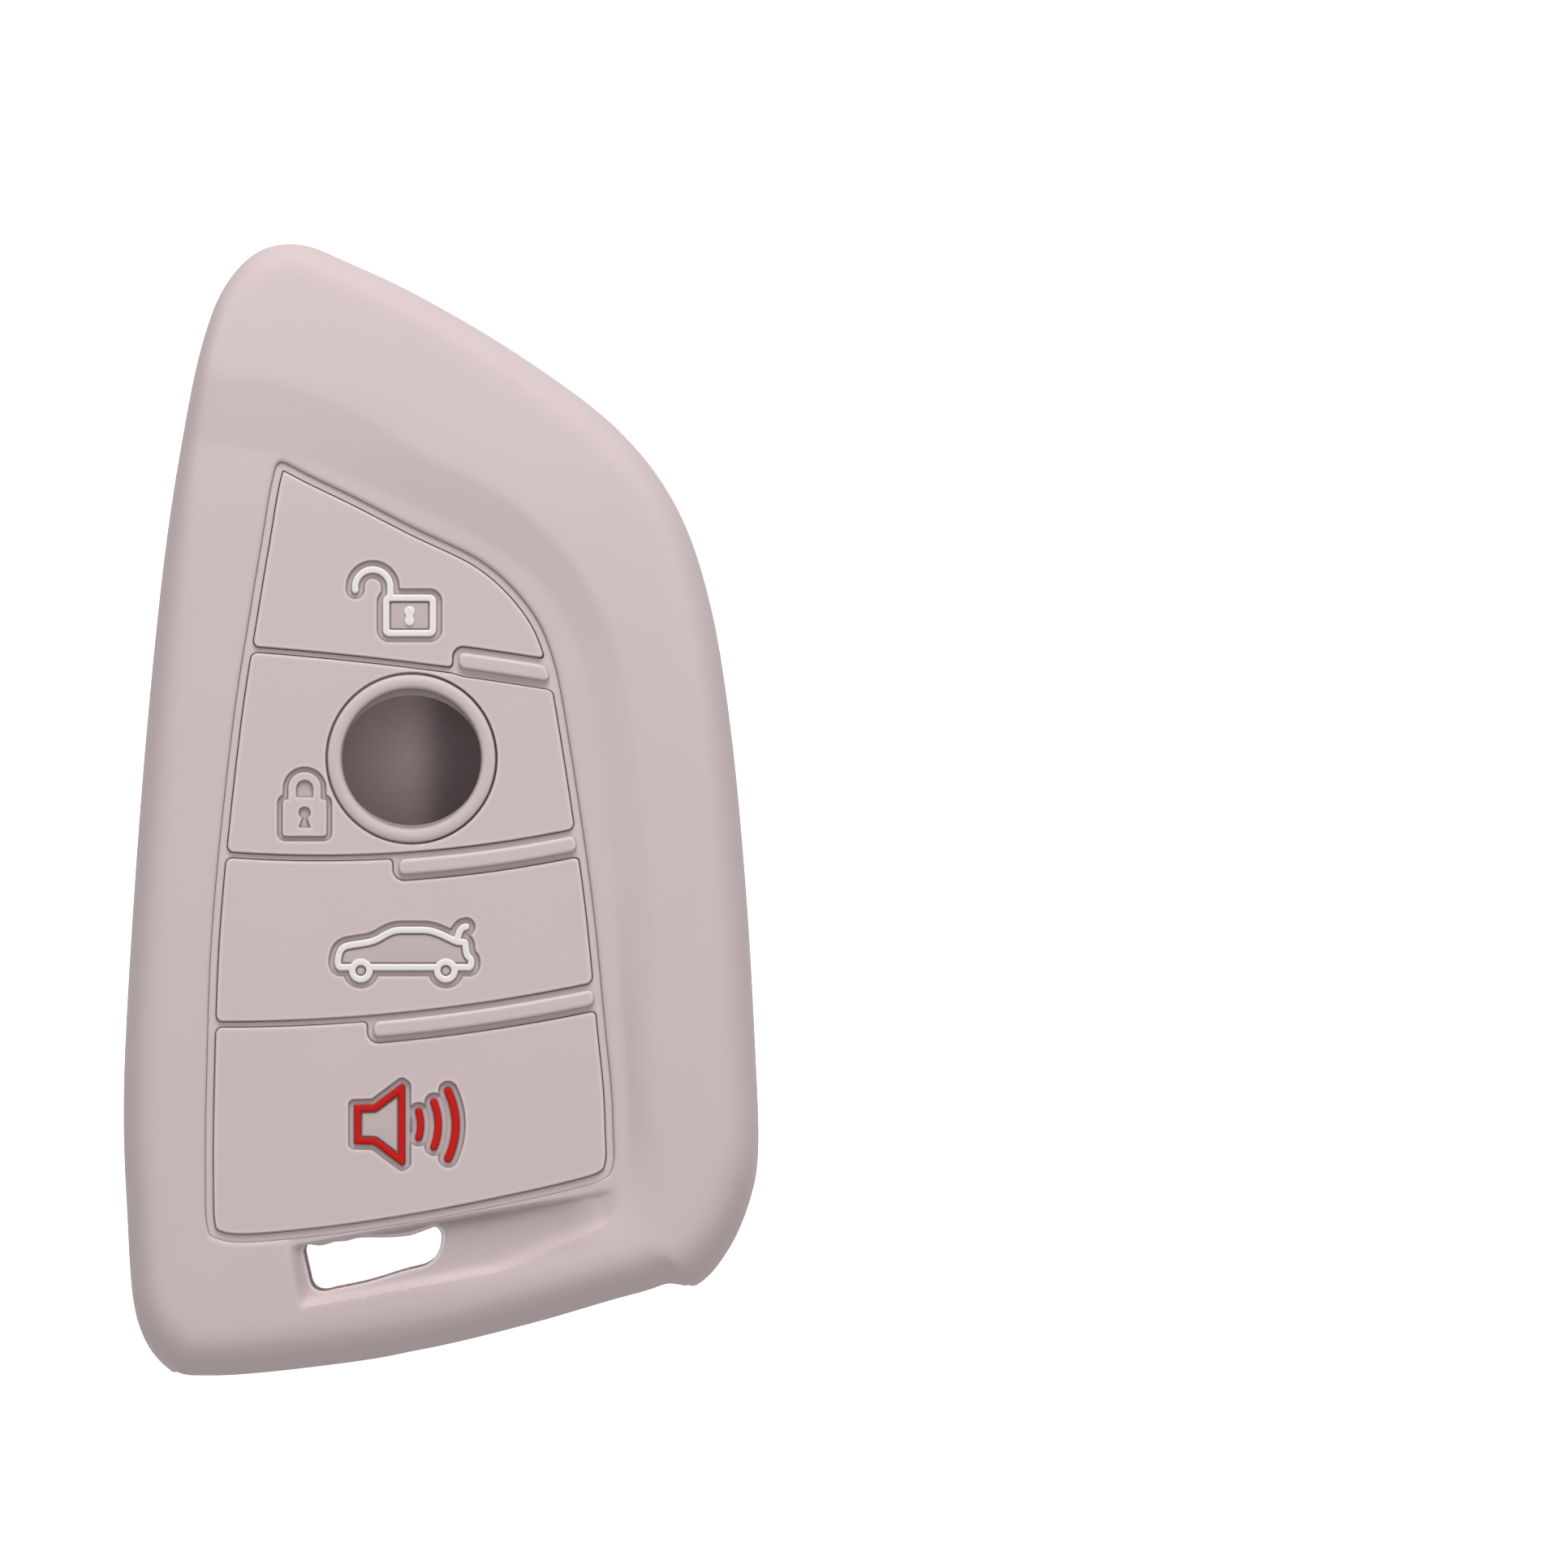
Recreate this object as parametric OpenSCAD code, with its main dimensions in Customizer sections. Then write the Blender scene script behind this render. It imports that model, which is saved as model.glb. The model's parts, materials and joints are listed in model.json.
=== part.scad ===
// Silicone cover for a smart car key: a one-piece sleeve with a button panel,
// a badge window, a key-ring slot and an open mouth at the wide end.
// It lies on its back: +Z is the front, +Y points to the narrow tip.

/* [Sleeve] */
// Overall width
cover_w = 49.7; // [46:0.1:54]
// Overall length, narrow tip to mouth lip
cover_l = 88.5; // [82:0.1:96]
// Overall thickness, rest face to front ridge
cover_t = 18; // [17:0.1:20]
// Wall of the moulding
wall_t = 1.3; // [1.1:0.05:1.6]
// Width of the rounded rim at the mouth, seen from the front
rim_w = 5; // [4:0.1:6.5]
// Height of the widest section above the rest face
parting_h = 8.2; // [7.5:0.1:9]
// Radius of the lengthwise crown of the front
crown_r = 500; // [400:10:900]
// Extra fall of the front toward the narrow tip
tip_fall = 3; // [1:0.1:4]
// Rise of the back toward the narrow tip
tip_rise = 2; // [0.5:0.1:3]
// Height of the raised ridge over the button panel
ridge_h = 0.7; // [0.4:0.05:1]
// Depth of the shallow panel in the back
back_recess = 0.5; // [0.2:0.05:0.8]

/* [Mouth and key-ring slot] */
// Opening of the mouth between its lips
mouth_h = 9.8; // [8.5:0.1:11]
// Radius of the mouth's corners
mouth_r = 2; // [1:0.1:3]
// Length of the slot along its upper edge
slot_l = 11.2; // [9:0.1:12]
// Width of the slot
slot_w = 3.8; // [3:0.1:4.2]
// Corner radius of the slot
slot_r = 0.8; // [0.4:0.05:1.2]
// Radius of the scooped recess beside the slot
scoop_r = 6; // [5:0.1:9]
// Depth of the scooped recess at its deep end
scoop_depth = 1.9; // [1.2:0.05:2.2]
// Width of the sunk ledge between the pads and the scoop
ledge_w = 1.3; // [0.9:0.05:1.5]
// Depth of that ledge
ledge_depth = 0.4; // [0.3:0.05:0.7]

/* [Button panel] */
// Width of the groove round the panel
rim_groove_w = 0.65; // [0.5:0.05:0.9]
// Width of the groove between two pads
pad_groove_w = 0.48; // [0.4:0.02:0.7]
// Depth of the grooves
groove_depth = 0.5; // [0.4:0.05:0.9]
// Thickness of the flexing web under the grooves
web_t = 0.5; // [0.3:0.05:0.6]
// Slit that stands in for the flexing edge of a pad
flex_gap = 0.08; // [0.05:0.01:0.12]
// Corner radius of the pads
pad_corner_r = 0.5; // [0.2:0.05:0.9]
// Width of the raised bars
bar_w = 1.27; // [1:0.05:1.6]
// Height of the bars over the pads
bar_rise = 0.3; // [0.1:0.05:0.5]
// Rounding of the bars' upper edges
bar_edge_r = 0.3; // [0.15:0.05:0.4]

/* [Badge window] */
// Radius of the badge window
badge_r = 5.43; // [5:0.01:6]
// Width of the rounded collar round the window
collar_w = 1.15; // [0.8:0.05:1.4]
// Height of the collar over the lock pad
collar_rise = 0.3; // [0.1:0.05:0.5]
// Crease between the collar and the lock pad
crease_w = 0.06; // [0.04:0.01:0.12]
// Lock pad left above and below the collar
collar_margin = 0.48; // [0.3:0.02:0.8]

/* [Symbols] */
// Line width of the symbols
line_w = 0.56; // [0.45:0.01:0.65]
// Width of the sunk moat round a symbol
moat_w = 0.48; // [0.35:0.01:0.55]
// Depth of the moat
moat_depth = 0.35; // [0.2:0.05:0.5]
// Width of the open padlock's case
open_case_w = 4.2; // [3.6:0.1:4.6]
// Height of the open padlock's case
open_case_h = 3.3; // [2.8:0.1:3.6]
// Radius of the open padlock's shackle
open_shackle_r = 1.3; // [1.1:0.05:1.5]
// Radius of the open padlock's keyhole
open_keyhole_r = 0.42; // [0.3:0.01:0.5]
// Width of the closed padlock's case
closed_case_w = 3.5; // [3:0.1:3.8]
// Height of the closed padlock's case
closed_case_h = 2.9; // [2.5:0.1:3.1]
// Radius of the closed padlock's shackle plate
closed_shackle_r = 1.31; // [1.1:0.01:1.45]
// Height of that plate over the case
closed_shackle_h = 2.15; // [1.9:0.05:2.4]
// Length of the car
car_l = 10.35; // [9:0.05:11]
// Radius of the car's wheels
car_wheel_r = 0.95; // [0.8:0.01:1.1]
// Height of the horn
horn_h = 6.6; // [5.5:0.1:7]
// Radius of the innermost sound wave
wave_r = 3.33; // [3.15:0.01:3.6]
// Step between the sound waves
wave_step = 1.37; // [1.25:0.01:1.5]

/* [Hidden] */

// One overrun serves all cuts
overrun = 1;
// Seat clearance between pieces of the moulding
seat_gap = 0.02;
// Squareness of the rounded rim, 2 would be an ellipse
rim_power = 3;
// Points from one station of an outline to the next, on the rings and round the panel
ring_steps = 2;
panel_steps = 3;
// The rim's width is limited to this share of the way to the panel
rim_limit_share = 0.6;
// The rim narrows by this share from the mouth to the tip
rim_taper_share = 0.45;
// Where the ridge slope starts and ends, as shares of the way to the panel
slope_shares = [0.66, 0.91];
// Inner edge of the back panel's slope and a ring inside it, as shares of the way in
back_floor_shares = [0.16, 0.55];
// Crest of the crown and start of the tip's fall, as shares of the length
crown_y_share = -0.055;
tip_y_share = 0.25;
// Middle of the button panel, as shares of width and length
centre_share = [-0.055, -0.03];

// Outline at the widest section, as shares of width and length
outline_shares = [
    [-0.430, -0.495], [-0.359, -0.5038], [-0.183, -0.495], [-0.017, -0.4803], [0.150, -0.4573],
    [0.303, -0.4333], [0.402, -0.421], [0.451, -0.389], [0.485, -0.346], [0.500, -0.300],
    [0.495, -0.210], [0.481, -0.074], [0.457, 0.070], [0.423, 0.185], [0.368, 0.271],
    [0.274, 0.339], [0.124, 0.402], [-0.029, 0.453], [-0.145, 0.484], [-0.221, 0.500],
    [-0.288, 0.494], [-0.341, 0.463], [-0.375, 0.415], [-0.403, 0.343], [-0.435, 0.228],
    [-0.464, 0.070], [-0.487, -0.102], [-0.500, -0.249], [-0.495, -0.354], [-0.480, -0.449]];
// Outline of the button panel at the same stations
panel_shares = [
    [-0.354, -0.378], [-0.304, -0.382], [-0.170, -0.375], [-0.029, -0.363], [0.098, -0.349],
    [0.201, -0.336], [0.257, -0.326], [0.272, -0.312], [0.272, -0.285], [0.269, -0.246],
    [0.260, -0.196], [0.238, -0.074], [0.200, 0.070], [0.176, 0.136], [0.139, 0.179],
    [0.068, 0.218], [-0.042, 0.249], [-0.132, 0.275], [-0.202, 0.294], [-0.244, 0.306],
    [-0.256, 0.305], [-0.261, 0.298], [-0.269, 0.277], [-0.279, 0.242], [-0.297, 0.181],
    [-0.327, 0.070], [-0.358, -0.102], [-0.368, -0.253], [-0.369, -0.339], [-0.366, -0.368]];
// Outline of the shallow back panel at the same stations
back_shares = [
    [-0.244, -0.312], [-0.202, -0.322], [-0.093, -0.319], [0.009, -0.310], [0.124, -0.299],
    [0.226, -0.290], [0.316, -0.284], [0.332, -0.276], [0.333, -0.253], [0.330, -0.224],
    [0.322, -0.160], [0.306, -0.038], [0.285, 0.084], [0.262, 0.156], [0.208, 0.210],
    [0.124, 0.255], [0.022, 0.289], [-0.081, 0.318], [-0.164, 0.340], [-0.215, 0.354],
    [-0.239, 0.357], [-0.247, 0.349], [-0.252, 0.325], [-0.256, 0.285], [-0.263, 0.199],
    [-0.276, 0.092], [-0.283, -0.059], [-0.281, -0.196], [-0.275, -0.267], [-0.262, -0.300]];
// How much of the ridge stands at each station
ridge_shares = [
    0, 0, 0, 0, 0,
    0, 0, 0.2, 0.6, 1,
    1, 1, 1, 1, 1,
    1, 1, 1, 1, 1,
    1, 1, 1, 0, 0,
    0, 0, 0, 0, 0];

// Dividing curves of the panel: left end, right end, and sag in shares of the length.
// The upper and middle ones and the open padlock are counted from the collar's margins.
upper_divide_shares = [[-0.302, 0.0142], [0.175, -0.0178], -0.003];
middle_divide_shares = [[-0.338, -0.0022], [0.211, 0.0178], 0.011];
lower_divide_shares = [[-0.354, -0.187], [0.238, -0.153], 0.009];
// Left ends of the bars, as shares of the width
upper_bar_share = 0.029;
middle_bar_share = -0.065;
lower_bar_share = -0.105;

// Places of the badge window and the symbols, as shares of width and length
badge_share = [-0.045, 0.045];
open_lock_share = [-0.049, 0.0462];
closed_lock_share = [-0.213, 0.009];
car_share = [-0.057, -0.139];
horn_share = [-0.083, -0.278];
slot_share = [-0.109, -0.398];
slot_angle = 10;
scoop_share = [0.274, -0.339];

// Ends of the mouth, as shares of width and length
mouth_left_share = [-0.425, -0.468];
mouth_right_share = [0.390, -0.393];

// Open padlock: the shackle's place and ends, as shares of the case's size
shackle_place_share = [-0.68, 0.74];
shackle_foot_share = [-0.362, 0.45];
// Car outline, as shares of its length, from the lower front corner
car_body_shares = [
    [-0.500, -0.100], [-0.500, -0.030], [-0.463, 0.045], [-0.390, 0.064], [-0.243, 0.088],
    [-0.157, 0.137], [-0.052, 0.173], [0.187, 0.173], [0.275, 0.142], [0.400, 0.083],
    [0.460, 0.070], [0.465, 0.015], [0.480, -0.050], [0.500, -0.065], [0.482, -0.104]];
car_lid_shares = [[0.380, 0.095], [0.420, 0.175], [0.462, 0.203]];
car_wheel_shares = [-0.333, 0.309];
car_axle_share = -0.136;
// Horn outline, as shares of its height
horn_body_shares = [
    [-0.394, -0.230], [-0.394, 0.230], [-0.162, 0.236], [0.173, 0.486],
    [0.212, 0.457], [0.212, -0.457], [0.173, -0.486], [-0.162, -0.236]];
// Half angles and line widths of the sound waves
wave_angles = [17.8, 21.8, 25.8];
wave_width_shares = [1, 1.04, 1.14];
wave_place_share = -0.11;

// Outside of the badge collar, and how far the lock pad's divides keep from its middle
collar_r = badge_r + collar_w;
collar_reach = collar_r + collar_margin;

// Levels under the panel's surface
pad_t = groove_depth + web_t;
panel_h = cover_t - ridge_h;
rim_facets = 6;
bar_facets = 3;
fine = 24;

function place(share) = [share[0] * cover_w, share[1] * cover_l];

// A closed curve through all stations
function between(a, b, c, d, t) =
    0.5 * (2 * b + (c - a) * t + (2 * a - 5 * b + 4 * c - d) * t * t
    + (3 * b - a - 3 * c + d) * t * t * t);
function looped(p, steps) = [for (i = [0:len(p) - 1]) for (k = [0:steps - 1])
    between(p[(i + len(p) - 1) % len(p)], p[i], p[(i + 1) % len(p)], p[(i + 2) % len(p)],
        k / steps)];
function placed(shares, steps) = looped([for (s = shares) place(s)], steps);

outline = placed(outline_shares, ring_steps);
panel = placed(panel_shares, ring_steps);
back_panel = placed(back_shares, ring_steps);
window = placed(panel_shares, panel_steps);
middle = place(centre_share);
ridge = [for (r = looped(ridge_shares, ring_steps)) max(0, min(1, r))];
count = len(outline);

// Surface levels along the length: the crowned front and the flat, rising back
function tip_way(y) = max(0, (y / cover_l - tip_y_share) / (0.5 - tip_y_share));
function crown(y) = sqrt(crown_r * crown_r - pow(y - crown_y_share * cover_l, 2)) - crown_r;
function front_z(y) = panel_h + crown(y) - tip_fall * pow(tip_way(y), 2);
function back_z(y) = tip_rise * pow(tip_way(y), 2);

// A point of the rounded rim: a is 0 at the widest section and 90 at the crest
function rim_wide(i) = rim_w * (1 - rim_taper_share * (outline[i][1] / cover_l + 0.5));
function rim_way(i, guide) =
    min(rim_wide(i), rim_limit_share * norm(guide[i] - outline[i])) / norm(guide[i] - outline[i]);
function rim_point(i, guide, a, w, front) =
    let (reach = norm(guide[i] - outline[i]),
        way = rim_way(i, guide),
        s = w / reach + (way - w / reach) * (1 - pow(cos(a), 2 / rim_power)),
        p = outline[i] + s * (guide[i] - outline[i]),
        lift = w > 0 ? 0 : ridge_h * ridge[i],
        crest = front ? front_z(p[1]) + lift - w : back_z(p[1]) + w)
    [p[0], p[1], parting_h + (crest - parting_h) * pow(sin(a), 2 / rim_power)];
function rim_ring(guide, a, w, front) =
    [for (i = [0:count - 1]) rim_point(i, guide, a, w, front)];
function front_ring(s, w, level) = [for (i = [0:count - 1])
    let (p = outline[i] + s * (panel[i] - outline[i]))
    [p[0], p[1], front_z(p[1]) + level * ridge[i] - w]];
function back_ring(s, w, level) = [for (b = back_panel)
    let (p = b + s * (middle - b))
    [p[0], p[1], back_z(p[1]) + level + w]];

// A closed body through rings, fanned to a middle point at both ends
module lofted(rings, first, last) {
    n = len(rings[0]);
    points = concat([for (r = rings) each r], [first, last]);
    sides = [for (k = [0:len(rings) - 2]) for (i = [0:n - 1])
        let (a = k * n + i, b = k * n + (i + 1) % n)
        each [[a, a + n, b + n], [a, b + n, b]]];
    top = (len(rings) - 1) * n;
    ends = [for (i = [0:n - 1])
        each [[len(points) - 2, i, (i + 1) % n], [len(points) - 1, top + (i + 1) % n, top + i]]];
    polyhedron(points = points, faces = concat(sides, ends));
}

// The sleeve's skin, drawn in by w: the outside at 0, the key's pocket at the wall
module skin(w) {
    step = 90 / rim_facets;
    ridge_level = w > 0 ? 0 : ridge_h;
    edge_level = w > 0 ? back_recess : 0;
    lofted(concat(
        [back_ring(back_floor_shares[1], w, back_recess)],
        [back_ring(back_floor_shares[0], w, back_recess)],
        [back_ring(0, w, edge_level)],
        [for (a = [90:-step:step]) rim_ring(back_panel, a, w, false)],
        [for (a = [0:step:90]) rim_ring(panel, a, w, true)],
        [front_ring(slope_shares[0], w, ridge_level)],
        [front_ring(slope_shares[1], w, 0)]),
        [middle[0], middle[1], back_z(middle[1]) + back_recess + w],
        [middle[0], middle[1], front_z(middle[1]) - w]);
}

// A slab that follows the crown, between two levels over the panel's surface
module crown_slab(low, high) {
    rows = 2 * fine;
    ys = [for (k = [0:rows]) cover_l * (k / rows - 0.5)];
    rotate([90, 0, 90])
        linear_extrude(2 * cover_w, center = true)
            polygon(concat([for (y = ys) [y, front_z(y) + low]],
                [for (k = [rows:-1:0]) [ys[k], front_z(ys[k]) + high]]));
}

// An outline raised between two levels under the crowned surface
module crowned(low, high) {
    intersection() {
        linear_extrude(cover_t + overrun) children();
        crown_slab(low, high);
    }
}

module rounded(r) {
    offset(r = r, $fn = fine) offset(delta = -r) children();
}

// Dividing curves, run on past both sides of the panel
badge_place = place(badge_share);
function divide(shares, level) = let (a = place(shares[0]), b = place(shares[1]))
    [for (t = [-0.15:0.05:1.15])
        a + t * (b - a) + [0, level - 4 * shares[2] * cover_l * t * (1 - t)]];
upper_divide = divide(upper_divide_shares, badge_place[1] + collar_reach);
middle_divide = divide(middle_divide_shares, badge_place[1] - collar_reach);
lower_divide = divide(lower_divide_shares, 0);
function lifted(curve, dy) = [for (p = curve) p + [0, dy]];
function reversed(p) = [for (i = [len(p) - 1:-1:0]) p[i]];

// A strip between two curves; the panel's top and bottom close the end strips
module strip(upper, lower) {
    polygon(concat(lower, reversed(upper)));
}

module pad_field() {
    offset(delta = -rim_groove_w) polygon(window);
}

// One bar's outline; its centre line runs beside a divide at dy
bar_offset = pad_groove_w + bar_w / 2;
bar_end_r = 0.4 * bar_w;
module bar_outline(curve, dy, share) {
    rounded(bar_end_r)
        intersection() {
            pad_field();
            translate([share * cover_w, -cover_l])
                square([cover_w, 2 * cover_l]);
            strip(lifted(curve, dy + bar_w / 2), lifted(curve, dy - bar_w / 2));
        }
}
module upper_bar_outline() bar_outline(upper_divide, bar_offset, upper_bar_share);
module middle_bar_outline() bar_outline(middle_divide, -bar_offset, middle_bar_share);
module lower_bar_outline() bar_outline(lower_divide, -bar_offset, lower_bar_share);

// Pads: the field between two divides, less the grooves and the bar's surround
module pad_outline(upper, lower) {
    rounded(pad_corner_r)
        difference() {
            intersection() {
                pad_field();
                strip(upper, lower);
            }
            offset(r = pad_groove_w, $fn = fine) children();
        }
}
panel_top = [[-cover_w, cover_l / 2], [cover_w, cover_l / 2]];
panel_bottom = [[-cover_w, -cover_l / 2], [cover_w, -cover_l / 2]];
module unlock_outline() {
    pad_outline(panel_top, lifted(upper_divide, pad_groove_w)) upper_bar_outline();
}
module lock_outline() {
    pad_outline(upper_divide, middle_divide) upper_bar_outline();
}
module trunk_outline() {
    pad_outline(lifted(middle_divide, -pad_groove_w), lower_divide) middle_bar_outline();
}
module panic_outline() {
    pad_outline(lifted(lower_divide, -pad_groove_w), panel_bottom) lower_bar_outline();
}

// A pad of full thickness, with the moat of its symbol sunk in the top
module pad_body() {
    difference() {
        crowned(-pad_t, 0) children(0);
        crowned(-moat_depth, overrun) children(1);
    }
}

// A line of the symbols along a path, with its two ends cut square
function way(p, i) = let (d = p[min(i + 1, len(p) - 1)] - p[max(i - 1, 0)]) d / norm(d);
function beside(p, w) = [for (i = [0:len(p) - 1]) p[i] + w * [-way(p, i)[1], way(p, i)[0]]];
module line_along(p, w) {
    polygon(concat(beside(p, -w / 2), reversed(beside(p, w / 2))));
}
module line_round(w) {
    difference() {
        offset(r = w / 2, $fn = fine) children();
        offset(delta = -w / 2) children();
    }
}

// Open padlock
open_lock_place = place(open_lock_share) + [0, badge_place[1] + collar_reach];
shackle_path = let (c = [shackle_place_share[0] * open_case_w, shackle_place_share[1] * open_case_h])
    concat([[shackle_foot_share[0] * open_case_w, shackle_foot_share[1] * open_case_h]],
        [for (a = [0:15:195]) c + open_shackle_r * [cos(a), sin(a)]]);
module open_shackle() {
    line_along(shackle_path, line_w);
    translate(shackle_path[len(shackle_path) - 1]) circle(d = line_w, $fn = fine);
}
module open_case() {
    rounded(line_w) square([open_case_w, open_case_h], center = true);
}
module open_lock_lines() {
    translate(open_lock_place) {
        open_shackle();
        difference() {
            open_case();
            square([open_case_w - 2 * line_w, open_case_h - 2 * line_w], center = true);
        }
    }
}
module open_keyhole() {
    hull() {
        translate([0, open_keyhole_r * 0.75]) circle(r = open_keyhole_r, $fn = fine);
        translate([0, -open_keyhole_r]) circle(r = open_keyhole_r * 0.83, $fn = fine);
    }
}
module open_lock_moat() {
    translate(open_lock_place)
        offset(r = moat_w, $fn = fine) {
            open_shackle();
            open_case();
        }
}

// Closed padlock: a plate left standing in its moat, with a shackle hole and a keyhole
shackle_rise = closed_shackle_h - closed_shackle_r;
module closed_lock_plate() {
    translate([0, -closed_case_h / 2])
        rounded(line_w / 2) square([closed_case_w, closed_case_h], center = true);
    translate([-closed_shackle_r, -line_w])
        square([2 * closed_shackle_r, shackle_rise + line_w]);
    translate([0, shackle_rise]) circle(r = closed_shackle_r, $fn = 2 * fine);
}
shackle_hole_r = closed_shackle_r - 1.25 * line_w;
closed_keyhole_r = 0.125 * closed_case_w;
keyhole_y = -0.36 * closed_case_h;
module closed_lock_holes() {
    translate([-shackle_hole_r, line_w / 3])
        square([2 * shackle_hole_r, shackle_rise - line_w / 3]);
    translate([0, shackle_rise]) circle(r = shackle_hole_r, $fn = fine);
    translate([0, keyhole_y]) circle(r = closed_keyhole_r, $fn = fine);
    polygon([[0, keyhole_y], [-closed_keyhole_r, 2.1 * keyhole_y],
        [closed_keyhole_r, 2.1 * keyhole_y]]);
}
module closed_lock_moat() {
    translate(place(closed_lock_share)) {
        difference() {
            offset(r = moat_w, $fn = fine) closed_lock_plate();
            closed_lock_plate();
        }
        closed_lock_holes();
    }
}

// Car with its trunk lid raised
module car_body() {
    polygon([for (p = reversed(car_body_shares)) p * car_l]);
}
module car_wheels(r) {
    for (x = car_wheel_shares)
        translate([x, car_axle_share] * car_l) circle(r = r, $fn = fine);
}
module car_lid() {
    line_along([for (p = car_lid_shares) p * car_l], line_w);
}
module car_lines() {
    translate(place(car_share)) {
        difference() {
            union() {
                line_round(line_w) car_body();
                car_wheels(car_wheel_r);
                car_lid();
            }
            car_wheels(car_wheel_r - line_w);
        }
    }
}
module car_moat() {
    translate(place(car_share))
        offset(r = moat_w + line_w / 2, $fn = fine) {
            car_body();
            car_wheels(car_wheel_r - line_w / 2);
            offset(delta = -line_w / 4) car_lid();
        }
}

// Horn with three sound waves
module horn_body() {
    polygon([for (p = reversed(horn_body_shares)) p * horn_h]);
}
module horn_lines() {
    translate(place(horn_share))
        difference() {
            horn_body();
            offset(delta = -line_w) horn_body();
        }
}
function wave_path(k) = let (r = wave_r + k * wave_step)
    [for (t = [-1:0.125:1]) r * [cos(t * wave_angles[k]), sin(t * wave_angles[k])]];
module wave_lines() {
    translate(place(horn_share) + [wave_place_share * horn_h, 0])
        for (k = [0:2])
            line_along(wave_path(k), line_w * wave_width_shares[k]);
}
module horn_moat() {
    offset(r = moat_w, $fn = fine) {
        translate(place(horn_share)) horn_body();
        wave_lines();
    }
}

// Key-ring slot and the scooped recess that runs into it
module slot_outline() {
    low_l = slot_l - 2 * slot_r;
    translate(place(slot_share))
        rotate(slot_angle)
            rounded(slot_r)
                polygon([[-slot_l / 2, slot_w / 2], [-low_l / 2, -slot_w / 2],
                    [low_l / 2, -slot_w / 2], [slot_l / 2, slot_w / 2]]);
}
scoop_end = place(scoop_share);
scoop_l = norm(scoop_end - place(slot_share)) + slot_l / 2 + slot_r;
scoop_tilt = atan2(scoop_depth, scoop_l);
module scoop(front) {
    level = front ? front_z(scoop_end[1]) : 0;
    translate([scoop_end[0], scoop_end[1], level])
        rotate([0, 0, slot_angle])
            mirror([0, 0, front ? 0 : 1])
                intersection() {
                    translate([0, 0, scoop_r])
                        rotate([0, -90 - scoop_tilt, 0])
                            cylinder(r = scoop_r, h = scoop_l, $fn = 6 * fine);
                    translate([-scoop_l, -scoop_r, -scoop_r])
                        cube([scoop_l, scoop_r, 2 * scoop_r]);
                }
}
// The ledge between the panic pad and the scoop, let down toward the scoop
module scoop_ledge() {
    crowned(-ledge_depth, overrun)
        translate(scoop_end)
            rotate(slot_angle)
                translate([-scoop_l, 0])
                    square([scoop_l, ledge_w]);
}

// Thickened wall that keeps the pocket closed round the slot and scoops
module slot_surround() {
    offset(r = wall_t, $fn = fine)
        hull() {
            slot_outline();
            translate(scoop_end) circle(r = slot_r, $fn = fine);
        }
}
module pocket() {
    low = wall_t + scoop_depth;
    difference() {
        skin(wall_t);
        linear_extrude(low) slot_surround();
        translate([0, 0, front_z(place(slot_share)[1]) - low])
            linear_extrude(cover_t) slot_surround();
    }
}
module mouth() {
    left = place(mouth_left_share);
    right = place(mouth_right_share);
    intersection() {
        linear_extrude(cover_t)
            polygon([left, [left[0], -cover_l], [right[0], -cover_l], right]);
        translate([(left[0] + right[0]) / 2, 0, parting_h])
            rotate([90, 0, 0])
                linear_extrude(cover_l)
                    rounded(mouth_r) square([right[0] - left[0], mouth_h], center = true);
    }
}

module sleeve() {
    color("#cabbbc")
        difference() {
            skin(0);
            pocket();
            mouth();
            translate([0, 0, parting_h])
                linear_extrude(cover_t) polygon(window);
            scoop(true);
            scoop(false);
            scoop_ledge();
            translate([0, 0, -overrun])
                linear_extrude(cover_t + 2 * overrun) slot_outline();
        }
}

module button_web() {
    color("#b9a9aa")
        crowned(-pad_t, -groove_depth)
            difference() {
                offset(delta = -seat_gap) polygon(window);
                offset(r = flex_gap, $fn = fine) unlock_outline();
                offset(r = flex_gap, $fn = fine) lock_outline();
                offset(r = flex_gap, $fn = fine) trunk_outline();
                offset(r = flex_gap, $fn = fine) panic_outline();
            }
}

module bar_body() {
    for (k = [0:bar_facets]) {
        a = 90 * k / bar_facets;
        crowned(seat_gap - groove_depth, bar_rise - bar_edge_r * (1 - sin(a)))
            offset(delta = -bar_edge_r * (1 - cos(a))) children();
    }
}
module upper_bar() color("#cfc0c1") bar_body() upper_bar_outline();
module middle_bar() color("#cfc0c1") bar_body() middle_bar_outline();
module lower_bar() color("#cfc0c1") bar_body() lower_bar_outline();

module unlock_pad() color("#cdbebf") pad_body() {
    unlock_outline();
    open_lock_moat();
}
module unlock_symbol() color("#ebe8e1") crowned(seat_gap - moat_depth, 0) open_lock_lines();
module unlock_keyhole() {
    color("#ebe8e1")
        crowned(seat_gap - moat_depth, 0)
            translate(open_lock_place) open_keyhole();
}

module lock_pad() {
    color("#cdbebf")
        difference() {
            pad_body() {
                lock_outline();
                closed_lock_moat();
            }
            translate(badge_place)
                cylinder(r = collar_r + crease_w, h = cover_t + overrun, $fn = 4 * fine);
        }
}
module badge_collar() {
    color("#d3c4c5")
        translate([badge_place[0], badge_place[1], front_z(badge_place[1])])
            rotate_extrude($fn = 4 * fine)
                translate([badge_r, 0])
                    polygon(concat([[0, -pad_t], [collar_w, -pad_t]],
                        [for (a = [0:15:180]) [collar_w * (0.5 + 0.5 * cos(a)),
                            (collar_rise + crease_w) * sin(a) - crease_w]]));
}

module trunk_pad() color("#cdbebf") pad_body() {
    trunk_outline();
    car_moat();
}
module trunk_symbol() color("#ebe8e1") crowned(seat_gap - moat_depth, 0) car_lines();

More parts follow.
